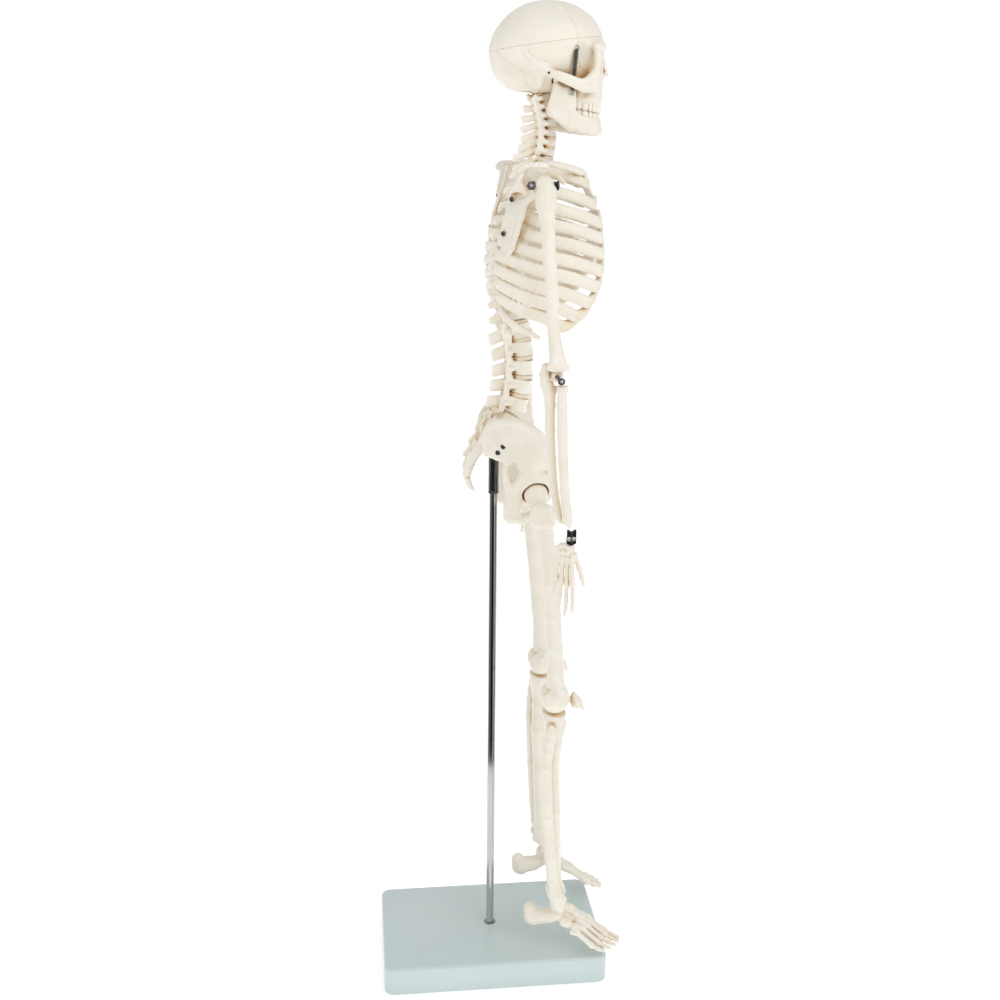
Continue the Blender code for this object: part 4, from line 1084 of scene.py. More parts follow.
def make_spine():
    discs = Field((-15, -50, 520), (15, -5, 784), 0.6, mirror=True)
    column = Field((-17, -52, 720), (17, -8, 790), 0.5, mirror=True)
    for i in range(7):
        t = i / 6
        reach, rise = local_tip(i)
        spinous = [(9.5, 1.0, 1.8), (9.5, -1.4, 1.8), (reach * 0.62, rise * 0.45 + 0.7, 1.4),
                   (reach * 0.62, rise * 0.5 - 1.2, 1.4), (reach - 2.2, rise + 1.3, 1.7),
                   (reach - 2.4, rise - 1.2, 1.8)]
        vertebra(column, i, 6.2 + t, 5.2 + 0.6 * t, 2.85, (8.0 + t, 7.4, 1.9, -2.0, 2.7), spinous,
                 (10.6 + 1.5 * t, 3.6, 0.2, 1.7))
        if i < 6:
            disc(discs, i, 5.7 + t, 4.8 + 0.6 * t, 1.3)
    column.cut(limb((0, -38, 770, 1.9), (0, -38, 796, 1.9)), 0)
    bone("cervical_vertebrae", carved_all(column), "torso", ["cervical_spine"])

    column = Field((-17, -48, 590), (17, 14, 741), 0.55, mirror=True)
    for i in range(12):
        t = i / 11
        reach = 24.0 + 0.5 * t
        drop = 6.0 + 3.0 * math.sin(math.pi * min(1.0, t * 1.1)) - 2.0 * t
        if i == 0:
            reach, drop = local_tip(7)[0], -local_tip(7)[1]
        spinous = [(10.5, -0.5, 1.9), (10.5, -3.4, 1.9), (reach * 0.7, -drop * 0.55 + 0.9, 1.6),
                   (reach * 0.7, -drop * 0.55 - 2.0, 1.6), (reach - 2.4, -drop + 1.2, 1.7),
                   (reach - 2.4, -drop - 1.2, 1.9)]
        vertebra(column, 7 + i, 7.4 + 1.8 * t, 6.6 + 1.7 * t, 4.35 + 0.3 * t,
                 (6.6 + 0.6 * t, 9.0 + t, 4.0, -4.6, 2.3),
                 spinous, (12.5 - 3.5 * t, 11.5 + t, 1.5, 2.2))
        disc(discs, 7 + i, 6.9 + 1.8 * t, 6.1 + 1.7 * t, 1.6 + 0.4 * t)
    disc(discs, 6, 6.8, 5.6, 1.5)
    bone("thoracic_vertebrae", carved_all(column), "torso", ["thoracic_spine"])

    column = Field((-24, -42, 518), (24, 14, 604), 0.6, mirror=True)
    for i in range(5):
        t = i / 4
        reach = 27.5 - 0.5 * t
        drop = 4.0 - 0.5 * t
        spinous = [(13.5, 2.4, 1.9), (13.5, -4.4, 1.9), (reach - 2.5, -drop + 3.0, 1.7),
                   (reach - 2.5, -drop - 3.4, 1.9)]
        vertebra(column, 19 + i, 11.0 + 1.6 * t, 8.8 + 0.6 * t, 6.2 - 0.2 * t,
                 (8.0 + 1.2 * t, 12.0, 6.6, -7.2, 2.7),
                 spinous, (18.5 + 1.5 * t, 11.5, 0.8, 1.8))
        if i < 4:
            disc(discs, 19 + i, 10.4 + 1.6 * t, 8.4 + 0.6 * t, 2.0)
    bone("lumbar_vertebrae", carved_all(column), "torso", ["lumbar_spine"])
    piece("spinal_discs", carved_all(discs), "torso", CARTILAGE)

    f = Field((-32, -28, 452), (32, 36, 534), 0.6, mirror=True)
    segments = [(-1.5, 513.5, 21, 8.2), (5.5, 503.5, 18, 6.8), (12.0, 494.5, 14, 5.8),
                (17.5, 485.5, 10.5, 5.0),
                (21.5, 476.0, 8.0, 4.2), (22.8, 469.0, 4.5, 3.4)]
    for (y, z, half, r), (y2, z2, half2, r2) in zip(segments, segments[1:]):
        f.add(solid((0, y, z, r), (-half + r * 0.8, y + 1.5, z, r * 0.8), (0, y2, z2, r2),
                    (-half2 + r2 * 0.8, y2 + 1.5, z2, r2 * 0.8)), 1.0)
    f.add(seated(drum(12.8, 9.4, 4.4, 0.0, 1.2), (0, -12.6, 517.6),
                 [[1, 0, 0], [0, 0.86, 0.5], [0, -0.5, 0.86]]), 2)
    f.add(solid((-8, -8, 514, 6), (-22, 2, 513, 4.5), (-20, 6, 502, 4), (-8, 2, 505, 6)), 2)
    f.add(limb((0, 1, 502, 7.0), (0, 3, 499, 6.6)), 2)
    crest = [(7.5, 522.5, 2.2), (14.5, 510.5, 2.3), (20.5, 499.5, 2.3), (25.0, 488.0, 2.2),
             (25.6, 477.0, 1.9)]
    for (y, z, r), (y2, z2, r2) in zip(crest, crest[1:]):
        f.add(limb((0, y - 3, z, r * 0.9), (0, y2 - 3, z2, r2 * 0.9)), 1)
    for y, z, r in crest:
        f.add(limb((0, y - 3, z + 1, r), (0, y, z - 1.5, r * 0.9)), 1)
        f.add(limb((-7.0, y - 4, z + 1.5, 1.8), (-6.5, y - 2.5, z - 2, 1.5)), 1.2)
    for (y, z, half, r), (y2, z2, half2, r2) in zip(segments[:4], segments[1:5]):
        x = -(half + half2) / 2 * 0.56
        f.cut(limb((x, (y + y2) / 2 - 14, (z + z2) / 2 - 9, 1.7),
                   (x * 0.85, (y + y2) / 2 + 14, (z + z2) / 2 + 8, 1.6)), 0.8)
    f.cut(limb((0, 0, 440, SLEEVE_RADIUS + 0.3), (0, 0, SLEEVE_HIGH.z - SLEEVE_RADIUS, SLEEVE_RADIUS + 0.3)),
          0)
    bone("sacral_bone", carved(f), "torso", ["sacrum"])

    f = Field((-8, 8, 450), (8, 32, 472), 0.45, mirror=True)
    f.add(chain([(0, 22.6, 464.8, 3.0), (0, 22.0, 462.6, 2.2), (0, 21.3, 460.6, 2.6), (0, 20.2, 458.4, 1.8),
                 (0, 19.0, 456.6, 2.0), (0, 17.4, 455.0, 1.3)]), 0.5)
    f.add(limb((-3.6, 22.4, 465.2, 1.3), (0, 22.4, 464.4, 2.2)), 0.8)
    bone("tail_bone", carved(f), "torso", ["coccyx"])


def carved_all(field):
    """The skin of a field with every island kept."""
    points, quads = skin(field)
    return quad_mesh(relaxed(points, quads), quads)


# ---------------------------------------------------------------- rib cage

# Ribs 1 to 12: half width, reach behind the vertebra, (x, y, z) where bone meets cartilage or ends
RIBS = [(25, 10, (-20, -68.5, 713)), (37, 14, (-28, -75.5, 696)), (46, 17, (-33, -79.6, 682)),
        (53, 19, (-36, -80.4, 670)), (58, 20, (-38, -81, 658)), (61, 21, (-42, -80, 645)),
        (63, 21, (-47, -76.4, 633)), (64, 21, (-52, -69, 621)), (63, 20, (-56, -58, 611)),
        (60, 19, (-57, -46, 603)), (53, 17, (-50, -30, 593)), (44, 13, (-40, -8, 588))]
CARTILAGES = [
    [(-20, -68.5, 713), (-7, -73.4, 712)],
    [(-28, -75.5, 696), (-8, -79.4, 699)],
    [(-33, -79.6, 682), (-8, -82.6, 688)],
    [(-36, -80.4, 670), (-22, -82.8, 673), (-8, -84.6, 679)],
    [(-38, -81, 658), (-24, -83.6, 662), (-8, -85.4, 671)],
    [(-42, -80, 645), (-27, -83.4, 650), (-8, -86, 663)],
    [(-47, -76.4, 633), (-32, -81.0, 638), (-9, -86, 657)],
    [(-52, -69, 621), (-41, -75.6, 626), (-28, -81.6, 641)],
    [(-56, -58, 611), (-49, -66.0, 613), (-38, -76, 627)],
    [(-57, -46, 603), (-54, -53.5, 604), (-47, -66.4, 614)],
]
CAGE_AXIS_Y, CAGE_WIDEST_Z = -34.0, 672


def rib_path(index, count):
    """Right rib from the vertebra round to its front end."""
    half_width, reach, (x, y, z) = RIBS[index]
    top, middle = THORACIC[index]
    back = middle + reach
    tip_turn = 0.55 if index < 10 else 0.35
    points = [(-10.5, middle + 5, top), (-0.28 * half_width - 8, back - 2.5, top - 1),
              (-0.66 * half_width - 4, back - 1.5, top - 5),
              (-half_width, back + (y - back) * tip_turn * 0.62, top + (z - top) * 0.48),
              (-half_width * 0.97 if index < 10 else x * 1.02, back + (y - back) * (tip_turn + 0.17),
               top + (z - top) * 0.72),
              (x, y, z)]
    return smooth_path(points, count)


def cage_outward(point):
    """Normal of the rib cage's wall, which leans out above its widest part and in below it."""
    lean = 6.0 * math.copysign(1, point[2] - CAGE_WIDEST_Z)
    return (point[0], (point[1] - CAGE_AXIS_Y) * 1.1, lean)


def make_ribs():
    cage = Field((-70, -94, 580), (70, 12, 734), 0.75, mirror=True)
    for i in range(10):
        count = 26
        path = rib_path(i, count)
        steps = range(count)
        broad = (4.4, 4.9, 5.1)[min(i, 2)]
        tall = np.interp(steps, (0, 3, 8, 16, 25), (2.2, 2.6, broad * 0.86, broad, broad * 0.94))
        thick = np.interp(steps, (0, 3, 25), (2.0, 1.9, 1.8))
        cage.add(band(path, cage_outward, tall, thick), 0.4)
    bone("ribs", carved_all(cage), "torso", ["rib_cage"])

    front = Field((-64, -96, 590), (64, -40, 722), 0.75, mirror=True)
    tall = np.interp(range(10), (0, 3, 9), (4.4, 4.0, 3.3))
    for line in CARTILAGES:
        path = smooth_path(line, 10)
        front.add(band(path, lambda p: (p[0] * 0.6, p[1] + 40, 0), tall, [1.9] * 10), 1.0)
    piece("costal_cartilage", carved_all(front), "torso", CARTILAGE)

    plate = Field((-14, -94, 636), (14, -56, 730), 0.6, mirror=True)
    rows = [(0, -62.6, 724.0, 7.0), (0, -68.4, 718.5, 8.6), (0, -73.6, 711.5, 8.6), (0, -77.4, 703, 6.4),
            (0, -80.8, 693, 5.6), (0, -83.6, 683, 5.8), (0, -85.2, 673, 6.4), (0, -86.2, 662, 6.6),
            (0, -86.8, 654, 4.8),
            (0, -86.6, 649, 2.6), (0, -85.8, 641.5, 1.2)]
    for (_, y, z, w), (_, y2, z2, w2) in zip(rows, rows[1:]):
        thick = 2.0 if z2 > 652 else 1.5
        plate.add(solid((0, y, z, thick), (-w + thick, y + 0.8, z, thick), (0, y2, z2, thick),
                        (min(-w2 + thick, -0.1), y2 + 0.8, z2, thick)), 0.8)
    plate.cut(oval((0, -61.5, 727.5), (4.6, 5.5, 3.0)), 1)
    for z, y in ((703, -79.6), (682, -85.8), (668, -87.6)):
        plate.cut(limb((-8, y - 1.2, z, 0.5), (0, y - 1.6, z, 0.5)), 0.6)
    bone("sternum", carved(plate), "torso", [])

    for index in (10, 11):
        f = Field((-62, -40, 578), (-6, 12, 626), 0.7)
        count = 16
        tall = np.interp(range(count), (0, 3, 11, 15), (2.0, 2.8, 3.2, 1.6))
        thick = np.interp(range(count), (0, 12, 15), (1.9, 1.7, 1.2))
        f.add(band(rib_path(index, count), cage_outward, tall, thick), 0.4)
        bone_pair(f"floating_rib_{index + 1}", carved(f), "torso", f"rib_{index + 1}")


# ---------------------------------------------------------------- shoulder girdle and arm

SHOULDER = (-84.0, -27.0, 712.0)
ELBOW = (-95.0, -37.5, 570.0)
WRIST = (-101.0, -50.0, 439.0)
HIP = (-42.0, -31.0, 461.0)
ANKLE = (-44.0, -57.0, 72.0)


BLADE_HALF_THICKNESS = 1.1


def make_girdle():
    f = Field((-92, -50, 648), (-34, 6, 734), 0.6)
    inner = [(-45, -20.0, 728, 1.5), (-41.8, -14.2, 724, 1.5), (-40.2, -11.2, 712, 1.4),
             (-40.4, -7.2, 699, 1.5),
             (-41.6, -2.9, 685.5, 1.5), (-43.2, -1.2, 673, 1.6), (-46, -0.9, 661.5, 1.7),
             (-49.5, -2.0, 656, 1.9)]
    outer = [(-62, -28, 718, 1.6), (-64, -25, 713, 2.0), (-64.6, -21.5, 707, 2.2), (-62.8, -16.4, 700, 2.3),
             (-61.4, -13.4, 689, 2.3), (-58.6, -9.6, 675, 2.2), (-55.6, -7.0, 664.5, 2.1),
             (-52, -3.6, 656.8, 2.0)]
    f.add(sheet(*[[(*ball[:3], BLADE_HALF_THICKNESS) for ball in row] for row in (inner, outer)]), 0.8)
    f.add(chain(inner + outer[:2:-1] + [(-67.5, -23.5, 706, 2.8)]), 1.6)
    f.add(web((-62, -28, 718, 1.6), (-64.6, -21.5, 707, 2.2), (-69, -24.5, 711, 3.0)), 1.6)
    f.add(chain([(-40.3, -6.0, 703, 1.5), (-50, -8.6, 708, 2.0), (-62, -12.0, 715.5, 2.2),
                 (-76, -13.5, 723.5, 2.4)]), 1.8)
    f.add(web((-50, -8.6, 708, 1.4), (-62, -12.0, 715.5, 1.4), (-60, -17.5, 706, 1.4)), 1.6)
    acromion = smooth_path([(-74, -10, 722.4), (-81, -14, 726.0), (-85.5, -21.5, 726.9),
                            (-84.5, -28.2, 726.2)], 9)
    f.add(band(acromion, lambda p: (0.1, 0.0, 1.0), np.interp(range(9), (0, 4, 8), (2.4, 3.6, 2.8)),
               [1.8] * 9), 1.6)
    f.add(chain([(-67, -24, 713, 2.8), (-65, -33, 719.5, 2.3), (-69.5, -40, 717.5, 2.1),
                 (-72, -43.5, 714, 1.7)]), 1.4)
    f.add(oval((-71.5, -24.5, 709), (2.6, 5.2, 6.6)), 1.6)
    f.cut(oval((-84, -27, 712), (10.2, 10.2, 10.2)), 0.6)
    f.cut(seated(drum(12.2, 12.2, 7.4, edge=0.5), (-81.6, -27, 712), ALONG_X), 0.5)
    bone_pair("shoulder_blade", carved(f), "torso", "scapula")

    f = Field((-86, -80, 712), (-2, -24, 738), 0.6)
    line = smooth_path([(-8.5, -69.5, 718.5), (-24, -63.5, 721.5), (-44, -47.5, 725.5), (-62, -33.5, 727.8),
                        (-78, -32, 727.6)], 18)
    wide = np.interp(range(18), (0, 3, 10, 17), (3.8, 3.0, 3.0, 3.8))
    flat = np.interp(range(18), (0, 3, 10, 17), (3.6, 2.9, 2.5, 1.8))
    f.add(band(line, lambda p: (0, 0, 1), wide, flat, 2.2), 0.6)
    bone_pair("collar_bone", carved(f), "torso", "clavicle")

    heads = [screw((-48.5, -7.0, 700.6), (-0.6, 0.8, 0.05), 2.1, 1.5),
             screw((-47.0, -0.8, 674.4), (-0.55, 0.83, 0.0), 2.1, 1.5)]
    piece("blade_screws", on_both_sides(heads), "torso", DARK_STEEL)


def make_arm():
    f = Field((-90, -42, 704), (-68, -12, 720), 0.4)
    f.add(block((-76.2, -37.0, 709), (-74.6, -17.0, 715), 0.5), 0)
    for edge in (-37.0, -18.6):
        f.add(block((-85.5, edge, 709.2), (-74.6, edge + 1.6, 714.8), 0.6), 0.5)
    for edge in (-38.0, -16.0):
        f.add(seated(drum(3.6, 3.6, 0.7, edge=0.4), (-84, edge + 0.6, 712), ALONG_Y), 0.4)
    fork = carved(f)
    flower = Field((-5, -5, -1), (5, 5, 4), 0.25)
    for k in range(6):
        turn = math.pi / 3 * k
        petal = (2.1 * math.cos(turn), 2.1 * math.sin(turn))
        flower.add(limb((*petal, 0.6, 1.35), (*petal, 1.2, 1.25)), 0.3)
    flower.add(limb((0, 0, 0.4, 2.0), (0, 0, 1.0, 1.9)), 0.3)
    flower.cut(block((-6, -6, -4), (6, 6, 0)), 0.1)
    rear = aimed(carved(flower), (-85.2, -17.0, 711.8), (-1, 0.12, 0))
    nut = screw((-87.3, -16.8, 711.8), (-1, 0.12, 0), 1.25, 0.8)
    steel_pair(("shoulder_nut", nut, "shoulder_fork", BRIGHT_STEEL, None, None))
    front = screw((-84, -36.6, 713), (-0.35, -1, 0), 2.4, 1.2)
    bracket = joined([fork, rear, front])
    steel_pair(("shoulder_bracket", bracket, "shoulder_fork", DARK_STEEL, "shoulder_fork", SHARP))

    f = Field((-112, -50, 560), (-74, -14, 722), 0.65)
    f.add(limb((*SHOULDER, 7.6), (-85.5, -27.6, 709.5, 7.2)), 0)
    f.add(chain([(-89.0, -27.5, 711.5, 4.0), (-89.2, -28.0, 704, 4.0)]), 2.4)
    f.add(chain([(-86, -33.5, 709, 2.6), (-87.5, -33, 700, 2.4)]), 2.0)
    shaft = [(-86.2, -27.4, 704, 7.6), (-87, -28.0, 698.5, 7.2), (-88, -29.0, 689, 5.8),
             (-88.6, -29.8, 678, 5.2),
             (-89.6, -31.6, 655, 5.0), (-91, -33.8, 627, 4.8), (-92.3, -35.4, 603, 4.6),
             (-93.6, -36.2, 592, 4.6)]
    f.add(chain(shaft), 2.0)
    f.add(solid((-93.6, -36.4, 596, 4.2), (-87.2, -37, 578, 3.0), (-102.6, -33.4, 579.0, 3.2),
                (-102.4, -41.4, 578.6, 3.2)), 2.6)
    f.add(limb((-86.0, -36.6, 575.5, 2.5), (-87.8, -37.2, 572, 3.4)), 1.6)
    f.add(chain([(-102.6, -31.6, 578.0, 3.0), (-102.0, -37.2, 577.4, 3.2), (-102.2, -43.4, 577.6, 3.0)]), 1.8)
    f.add(limb((-88.3, -37.5, 570, 4.6), (-92.4, -37.5, 570, 3.9)), 0.8)
    f.add(limb((-92.4, -37.5, 570, 3.9), (-94.2, -37.5, 570, 4.5)), 0.8)
    f.add(oval((-96.6, -38.2, 570.4), (3.4, 4.6, 4.6)), 0.8)
    f.cut(oval((-94.5, -31.8, 577.5), (4.6, 2.8, 4.0)), 1.2)
    f.cut(oval((-95, -41.8, 577.5), (4.6, 2.4, 3.4)), 1.4)
    f.cut(limb((-112, ELBOW[1], ELBOW[2], 1.35), (-78, ELBOW[1], ELBOW[2], 1.35)), 0)
    bone_pair("upper_arm_bone", carved(f), "upper_arm", "humerus")

    pin = aimed(lathe([(0, 0), (1.2, 0.0), (1.2, 25.0), (0, 25.0)], 24), (-107.5, ELBOW[1], ELBOW[2]),
                (1, 0, 0))
    near = screw((-106.0, ELBOW[1] - 2.4, ELBOW[2] - 2.4), (-1, 0, 0), 2.8, 1.3)
    far = screw((-83.2, ELBOW[1], ELBOW[2]), (1, 0, 0), 2.1, 1.2)
    spool = aimed(lathe([(0, 0), (2.3, 0), (2.3, 0.8), (1.5, 1.1), (1.5, 3.0), (2.3, 3.3), (2.3, 4.1),
                         (0, 4.1)], 24),
                  (-104.8, ELBOW[1] - 2.6, ELBOW[2] - 2.2), (1, 0, 0))
    core = screw((-107.3, ELBOW[1] - 2.4, ELBOW[2] - 2.4), (-1, 0.1, 0), 1.3, 0.7)
    steel_pair(("elbow_bolt", joined([pin, near, far]), "upper_arm", DARK_STEEL, "elbow_pin", SHARP),
               ("elbow_spool", joined([spool, core]), "upper_arm", BRIGHT_STEEL, None, SHARP))

    clear = limb((-120, ELBOW[1], ELBOW[2], 5.3), (-70, ELBOW[1], ELBOW[2], 5.3))
    f = Field((-100, -56, 446), (-82, -22, 586), 0.6)
    f.add(chain([(-92.2, -29.6, 576.5, 3.4), (-91.8, -29.2, 570, 4.2), (-91.4, -30.8, 563, 5.2),
                 (-91, -33.2, 556, 4.8)]), 1.5)
    f.add(chain([(-91, -33.2, 556, 4.6), (-90.6, -33.8, 547, 4.2), (-90.6, -34.2, 527, 3.9),
                 (-90.8, -35.8, 503, 3.6),
                 (-91.4, -38.4, 478, 3.2), (-92, -41.4, 461, 3.3), (-92, -42.8, 456, 3.4)]), 1.5)
    f.add(limb((-92, -43.8, 453.5, 2.7), (-91.6, -46.4, 450.6, 1.2)), 1)
    f.add(limb((-92.5, -39.5, 560, 2.2), (-91.4, -36, 558.5, 2.8)), 1.4)
    f.cut(clear, 0.3)
    bone_pair("forearm_ulna", carved(f), "forearm", "ulna")

    f = Field((-110, -58, 446), (-92, -30, 568), 0.6)
    f.add(seated(drum(4.8, 4.8, 2.3, 0.06, 0.7), (-99.8, -41.8, 560.8), UPRIGHT), 0)
    f.add(chain([(-99.8, -41.6, 559.5, 3.4), (-99.4, -41.8, 553, 3.5), (-99.8, -41.8, 547.5, 4.0)]), 1.5)
    f.add(chain([(-99.8, -41.8, 547.5, 4.0), (-101.0, -42.2, 529, 4.0), (-101.8, -43.2, 505, 4.0),
                 (-101.8, -45.0, 480, 3.8), (-101.4, -47.0, 464, 3.9), (-100.8, -48.0, 457, 4.2)]), 1.5)
    f.add(solid((-103.2, -48.4, 455, 3.5), (-98.6, -48.2, 454.6, 3.9), (-101, -49.4, 452.5, 2.4)), 1.4)
    f.add(limb((-104.6, -48.6, 453.4, 2.2), (-104.8, -48.6, 451.0, 1.3)), 1)
    f.cut(limb((-120, ELBOW[1], ELBOW[2], 6.6), (-96, ELBOW[1], ELBOW[2], 6.6)), 0.3)
    f.cut(block((-112, -56.0, 444), (-102.9, -45.5, 449.6)), 0.4)
    bone_pair("forearm_radius", carved(f), "forearm", "radius")

    f = Field((-108, -58, 430), (-90, -42, 460), 0.3)
    f.add(block((-105.0, -54.9, 437.0), (-103.4, -47.3, 448.9), 0.5), 0)
    f.add(seated(drum(3.6, 3.6, 0.8, edge=0.3), (-104.2, WRIST[1] - 0.8, 439.2), ALONG_X), 0.3)
    f.cut(limb((-110, WRIST[1] - 1.1, 449.6, 2.0), (-95, WRIST[1] - 1.1, 449.6, 2.0)), 0.3)
    f.add(limb((-104.2, WRIST[1], WRIST[2], 1.2), (-96.2, WRIST[1], WRIST[2], 1.2)), 0.2)
    rivets = [screw((-105.0, -52.9 + dy, WRIST[2] + 2.4), (-1, 0, 0), 1.65, 1.2) for dy in (0, 3.9)]
    steel_pair(("wrist_plate", carved(f), "forearm", DARK_STEEL, "wrist_link", SHARP),
               ("wrist_rivets", joined(rivets), "forearm", BRIGHT_STEEL, None, None))


def make_hand():
    f = Field((-114, -76, 370), (-84, -32, 446), 0.5)
    angle = math.radians(52)
    axis_x, axis_y, shift_y, slant = -99.5, -50.0, 0.6, 0.06

    def turned(ball):
        """The ball with the flat of the hand turned towards the thigh, slanting back as it hangs."""
        x, y = ball[0] - axis_x, ball[1] - axis_y
        return (axis_x + x * math.cos(angle) - y * math.sin(angle),
                axis_y + shift_y + x * math.sin(angle) + y * math.cos(angle) + slant * (WRIST[2] - ball[2]),
                *ball[2:])
    carpals = [(-102.8, -49.6, 433.2, 2.7), (-98.4, -49.6, 434.2, 2.8), (-94.4, -49.2, 433.8, 2.6),
               (-91.2, -48.6, 431.6, 2.2),
               (-104.6, -50.0, 428.2, 2.7), (-100.4, -49.8, 428.6, 2.7), (-96.4, -49.2, 428.6, 2.7),
               (-92.4, -48.6, 427.6, 2.6)]
    for ball in map(turned, carpals):
        f.add(limb(ball, (ball[0], ball[1] - 0.6, ball[2] - 0.6, ball[3])), 0.7)
    f.add(limb((-99.6, WRIST[1], WRIST[2], 2.5), (-97.4, WRIST[1], WRIST[2], 2.5)), 1.0)
    f.add(limb((-98.4, WRIST[1], 437.5, 2.4), (-98.4, -49.6, 434, 2.6)), 1.0)
    rays = [  # base, knuckle, then the finger's three joints
        [(-104.4, -49.6, 423.6), (-106.2, -50.6, 403.0), (-107.4, -51.2, 391.2), (-107.8, -51.0, 385.0),
         (-108.0, -50.4, 379.8)],
        [(-100.4, -49.6, 423.8), (-100.9, -51.0, 401.2), (-101.4, -51.8, 388.4), (-101.6, -51.4, 381.0),
         (-101.6, -50.6, 375.2)],
        [(-96.4, -49.2, 423.8), (-96.0, -50.2, 403.2), (-95.8, -51.0, 391.4), (-95.6, -50.6, 384.2),
         (-95.4, -49.8, 378.6)],
        [(-92.4, -48.6, 423.8), (-91.2, -49.2, 406.0), (-90.2, -49.8, 396.6), (-89.6, -49.6, 391.4),
         (-89.2, -49.0, 386.8)],
    ]
    for ray in rays:
        for i, (a, b) in enumerate(zip(ray, ray[1:])):
            knuckle, mid = (2.6, 1.85) if i == 0 else (2.2 - 0.2 * i, 1.6 - 0.1 * i)
            a, b = np.array(turned(a)), np.array(turned(b))
            end = knuckle * (0.95 if i < 3 else 0.75)
            gap = (b - a) / np.linalg.norm(b - a) * (0.5 if i else 0.2)
            inner, outer = a + gap, b - gap
            f.add(chain([(*inner, knuckle), (*(inner * 0.7 + outer * 0.3), mid),
                         (*(inner * 0.3 + outer * 0.7), mid),
                         (*outer, end)]), 0.6)
    thumb = [(-105.6, -51.4, 427.4), (-108.6, -56.2, 414.4), (-110.0, -59.0, 406.6), (-110.9, -61.4, 400.4)]
    for i, (a, b) in enumerate(zip(thumb, thumb[1:])):
        a, b = np.array(turned(a)), np.array(turned(b))
        f.add(chain([(*a, 2.4 - 0.25 * i), (*(a * 0.6 + b * 0.4), 1.6 - 0.15 * i), (*b, 2.1 - 0.3 * i)]), 0.6)
    f.cut(limb((-112, WRIST[1], WRIST[2], 1.4), (-90, WRIST[1], WRIST[2], 1.4)), 0.2)
    f.cut(seated(drum(11.2, 11.2, 2.4, edge=0.4), (-105.3, WRIST[1], WRIST[2]), ALONG_X), 0.3)
    bone_pair("hand_bones", carved(f), "hand", "hand")


# ---------------------------------------------------------------- pelvis and leg

def make_pelvis():
    f = Field((-72, -58, 424), (1, 24, 532), 0.75)
    hub, waist = (-39, -27, 481, 4.5), (-31, -5, 498, 3.2)
    crest = [(-24.5, 8.0, 512.5, 2.2), (-29, 5.5, 517.5, 2.0), (-38, -1.0, 522, 1.9), (-50, -12, 524.8, 1.8),
             (-58.0, -22.5, 522, 1.8),
             (-62, -31.5, 515, 2.0), (-61, -38.5, 504, 2.4), (-50, -41, 489, 3.4)]
    count = 22
    rounded = smooth_path([ball[:3] for ball in crest], count)
    widths = np.interp(np.linspace(0, len(crest) - 1, count), range(len(crest)), [ball[3] for ball in crest])
    crest = [(*point, width) for point, width in zip(rounded, widths)]
    f.add(fan(hub, crest[6:]), 1.5)
    f.add(fan(waist, crest[:10]) + [web(hub, waist, crest[9]), web(hub, waist, crest[6])], 1.5)
    ridge = [(x, y, z, r + 0.8) for x, y, z, r in crest[:19]]
    f.add(chain(ridge), 1.6)
    f.add(limb((-61.5, -38.5, 505.5, 2.8), (-60.6, -41, 502, 2.2)), 1.5)
    f.add(limb((-50, -41.5, 489, 3.4), (-47, -42.5, 484, 2.8)), 1.5)
    f.add(chain([(-24.5, 8.5, 512, 2.8), (-24.5, 10.5, 504, 2.8), (-27, 8.4, 493.5, 3.0),
                 (-30.5, 0, 491.2, 3.0),
                 (-33, -7.6, 488.6, 3.2), (-34, -12.6, 489.6, 3.4)]), 1.8)
    f.add([web(waist, (-24.5, 10, 506, 2.2), (-27, 8, 495, 2.4)),
           web(waist, (-27, 8, 495, 2.4), (-33, -7.6, 489.5, 2.6)),
           web(waist, (-24.5, 10, 506, 2.2), (-25, 8, 512, 2.2)),
           web(waist, hub, (-33, -7.6, 489.5, 2.6))], 1.8)
    f.add(solid((-33, -31, 463, 13.2), (-35.8, -29, 466.5, 12.6)), 3)
    f.add(solid((-39, -27, 481, 5), (-38, -36, 476, 7), (-38, -22, 474, 7)), 4)
    f.add(chain([(-36, -40, 465, 5.2), (-26, -44.5, 463.5, 3.8), (-14, -47.4, 462, 3.4), (-6, -48, 459, 4.0),
                 (-5.6, -46.4, 450, 3.8), (-12, -39.5, 443.5, 3.0), (-20, -31, 437.5, 2.9),
                 (-28, -21.5, 435.5, 4.2)]), 2.2)
    f.add(web((-6, -48, 459, 3.4), (-5.6, -46.4, 450, 3.2), (-13, -44.5, 455, 2.2)), 2)
    f.add(chain([(-34.5, -20, 468, 8.0), (-34, -15, 458, 7.6), (-33, -12.4, 448.5, 7.2),
                 (-31.5, -12.2, 440.5, 6.8), (-28, -19, 436.5, 5.0)]), 2.5)
    f.add(chain([(-33, -8.0, 489, 2.6), (-33, -6.6, 480, 2.4), (-33.4, -7.4, 472, 3.0),
                 (-33.6, -9.6, 463, 4.0)]), 2.5)
    f.cut(oval(HIP, (11.4, 11.4, 11.4)), 0.5)
    f.cut(block((-95, -60, 432), (-46.8, 0, 476)), 1.2)
    f.cut(oval((-33, -41, 451), (5.5, 5, 6)), 2)
    f.cut(oval((-34, -13.0, 483.8), (30, 2.2, 4.4)), 0.8)
    bone_pair("hip", carved(f), "torso", "hip_bone")

    f = Field((-6, -56, 440), (6, -38, 468), 0.5, mirror=True)
    f.add(limb((0, -48.4, 459.5, 2.8), (0, -46.4, 449.5, 2.7)), 0)
    piece("pubic_pad", carved(f), "torso", CARTILAGE, ["pubic_disc"])

    heads = [screw((-36.0, -3.8, 501.1), (-0.85, 0.5, -0.1), 2.3, 1.6),
             screw((-32.8, 0.2, 495.1), (-0.92, 0.36, 0.0), 2.2, 1.5)]
    piece("hip_screws", on_both_sides(heads), "torso", DARK_STEEL)


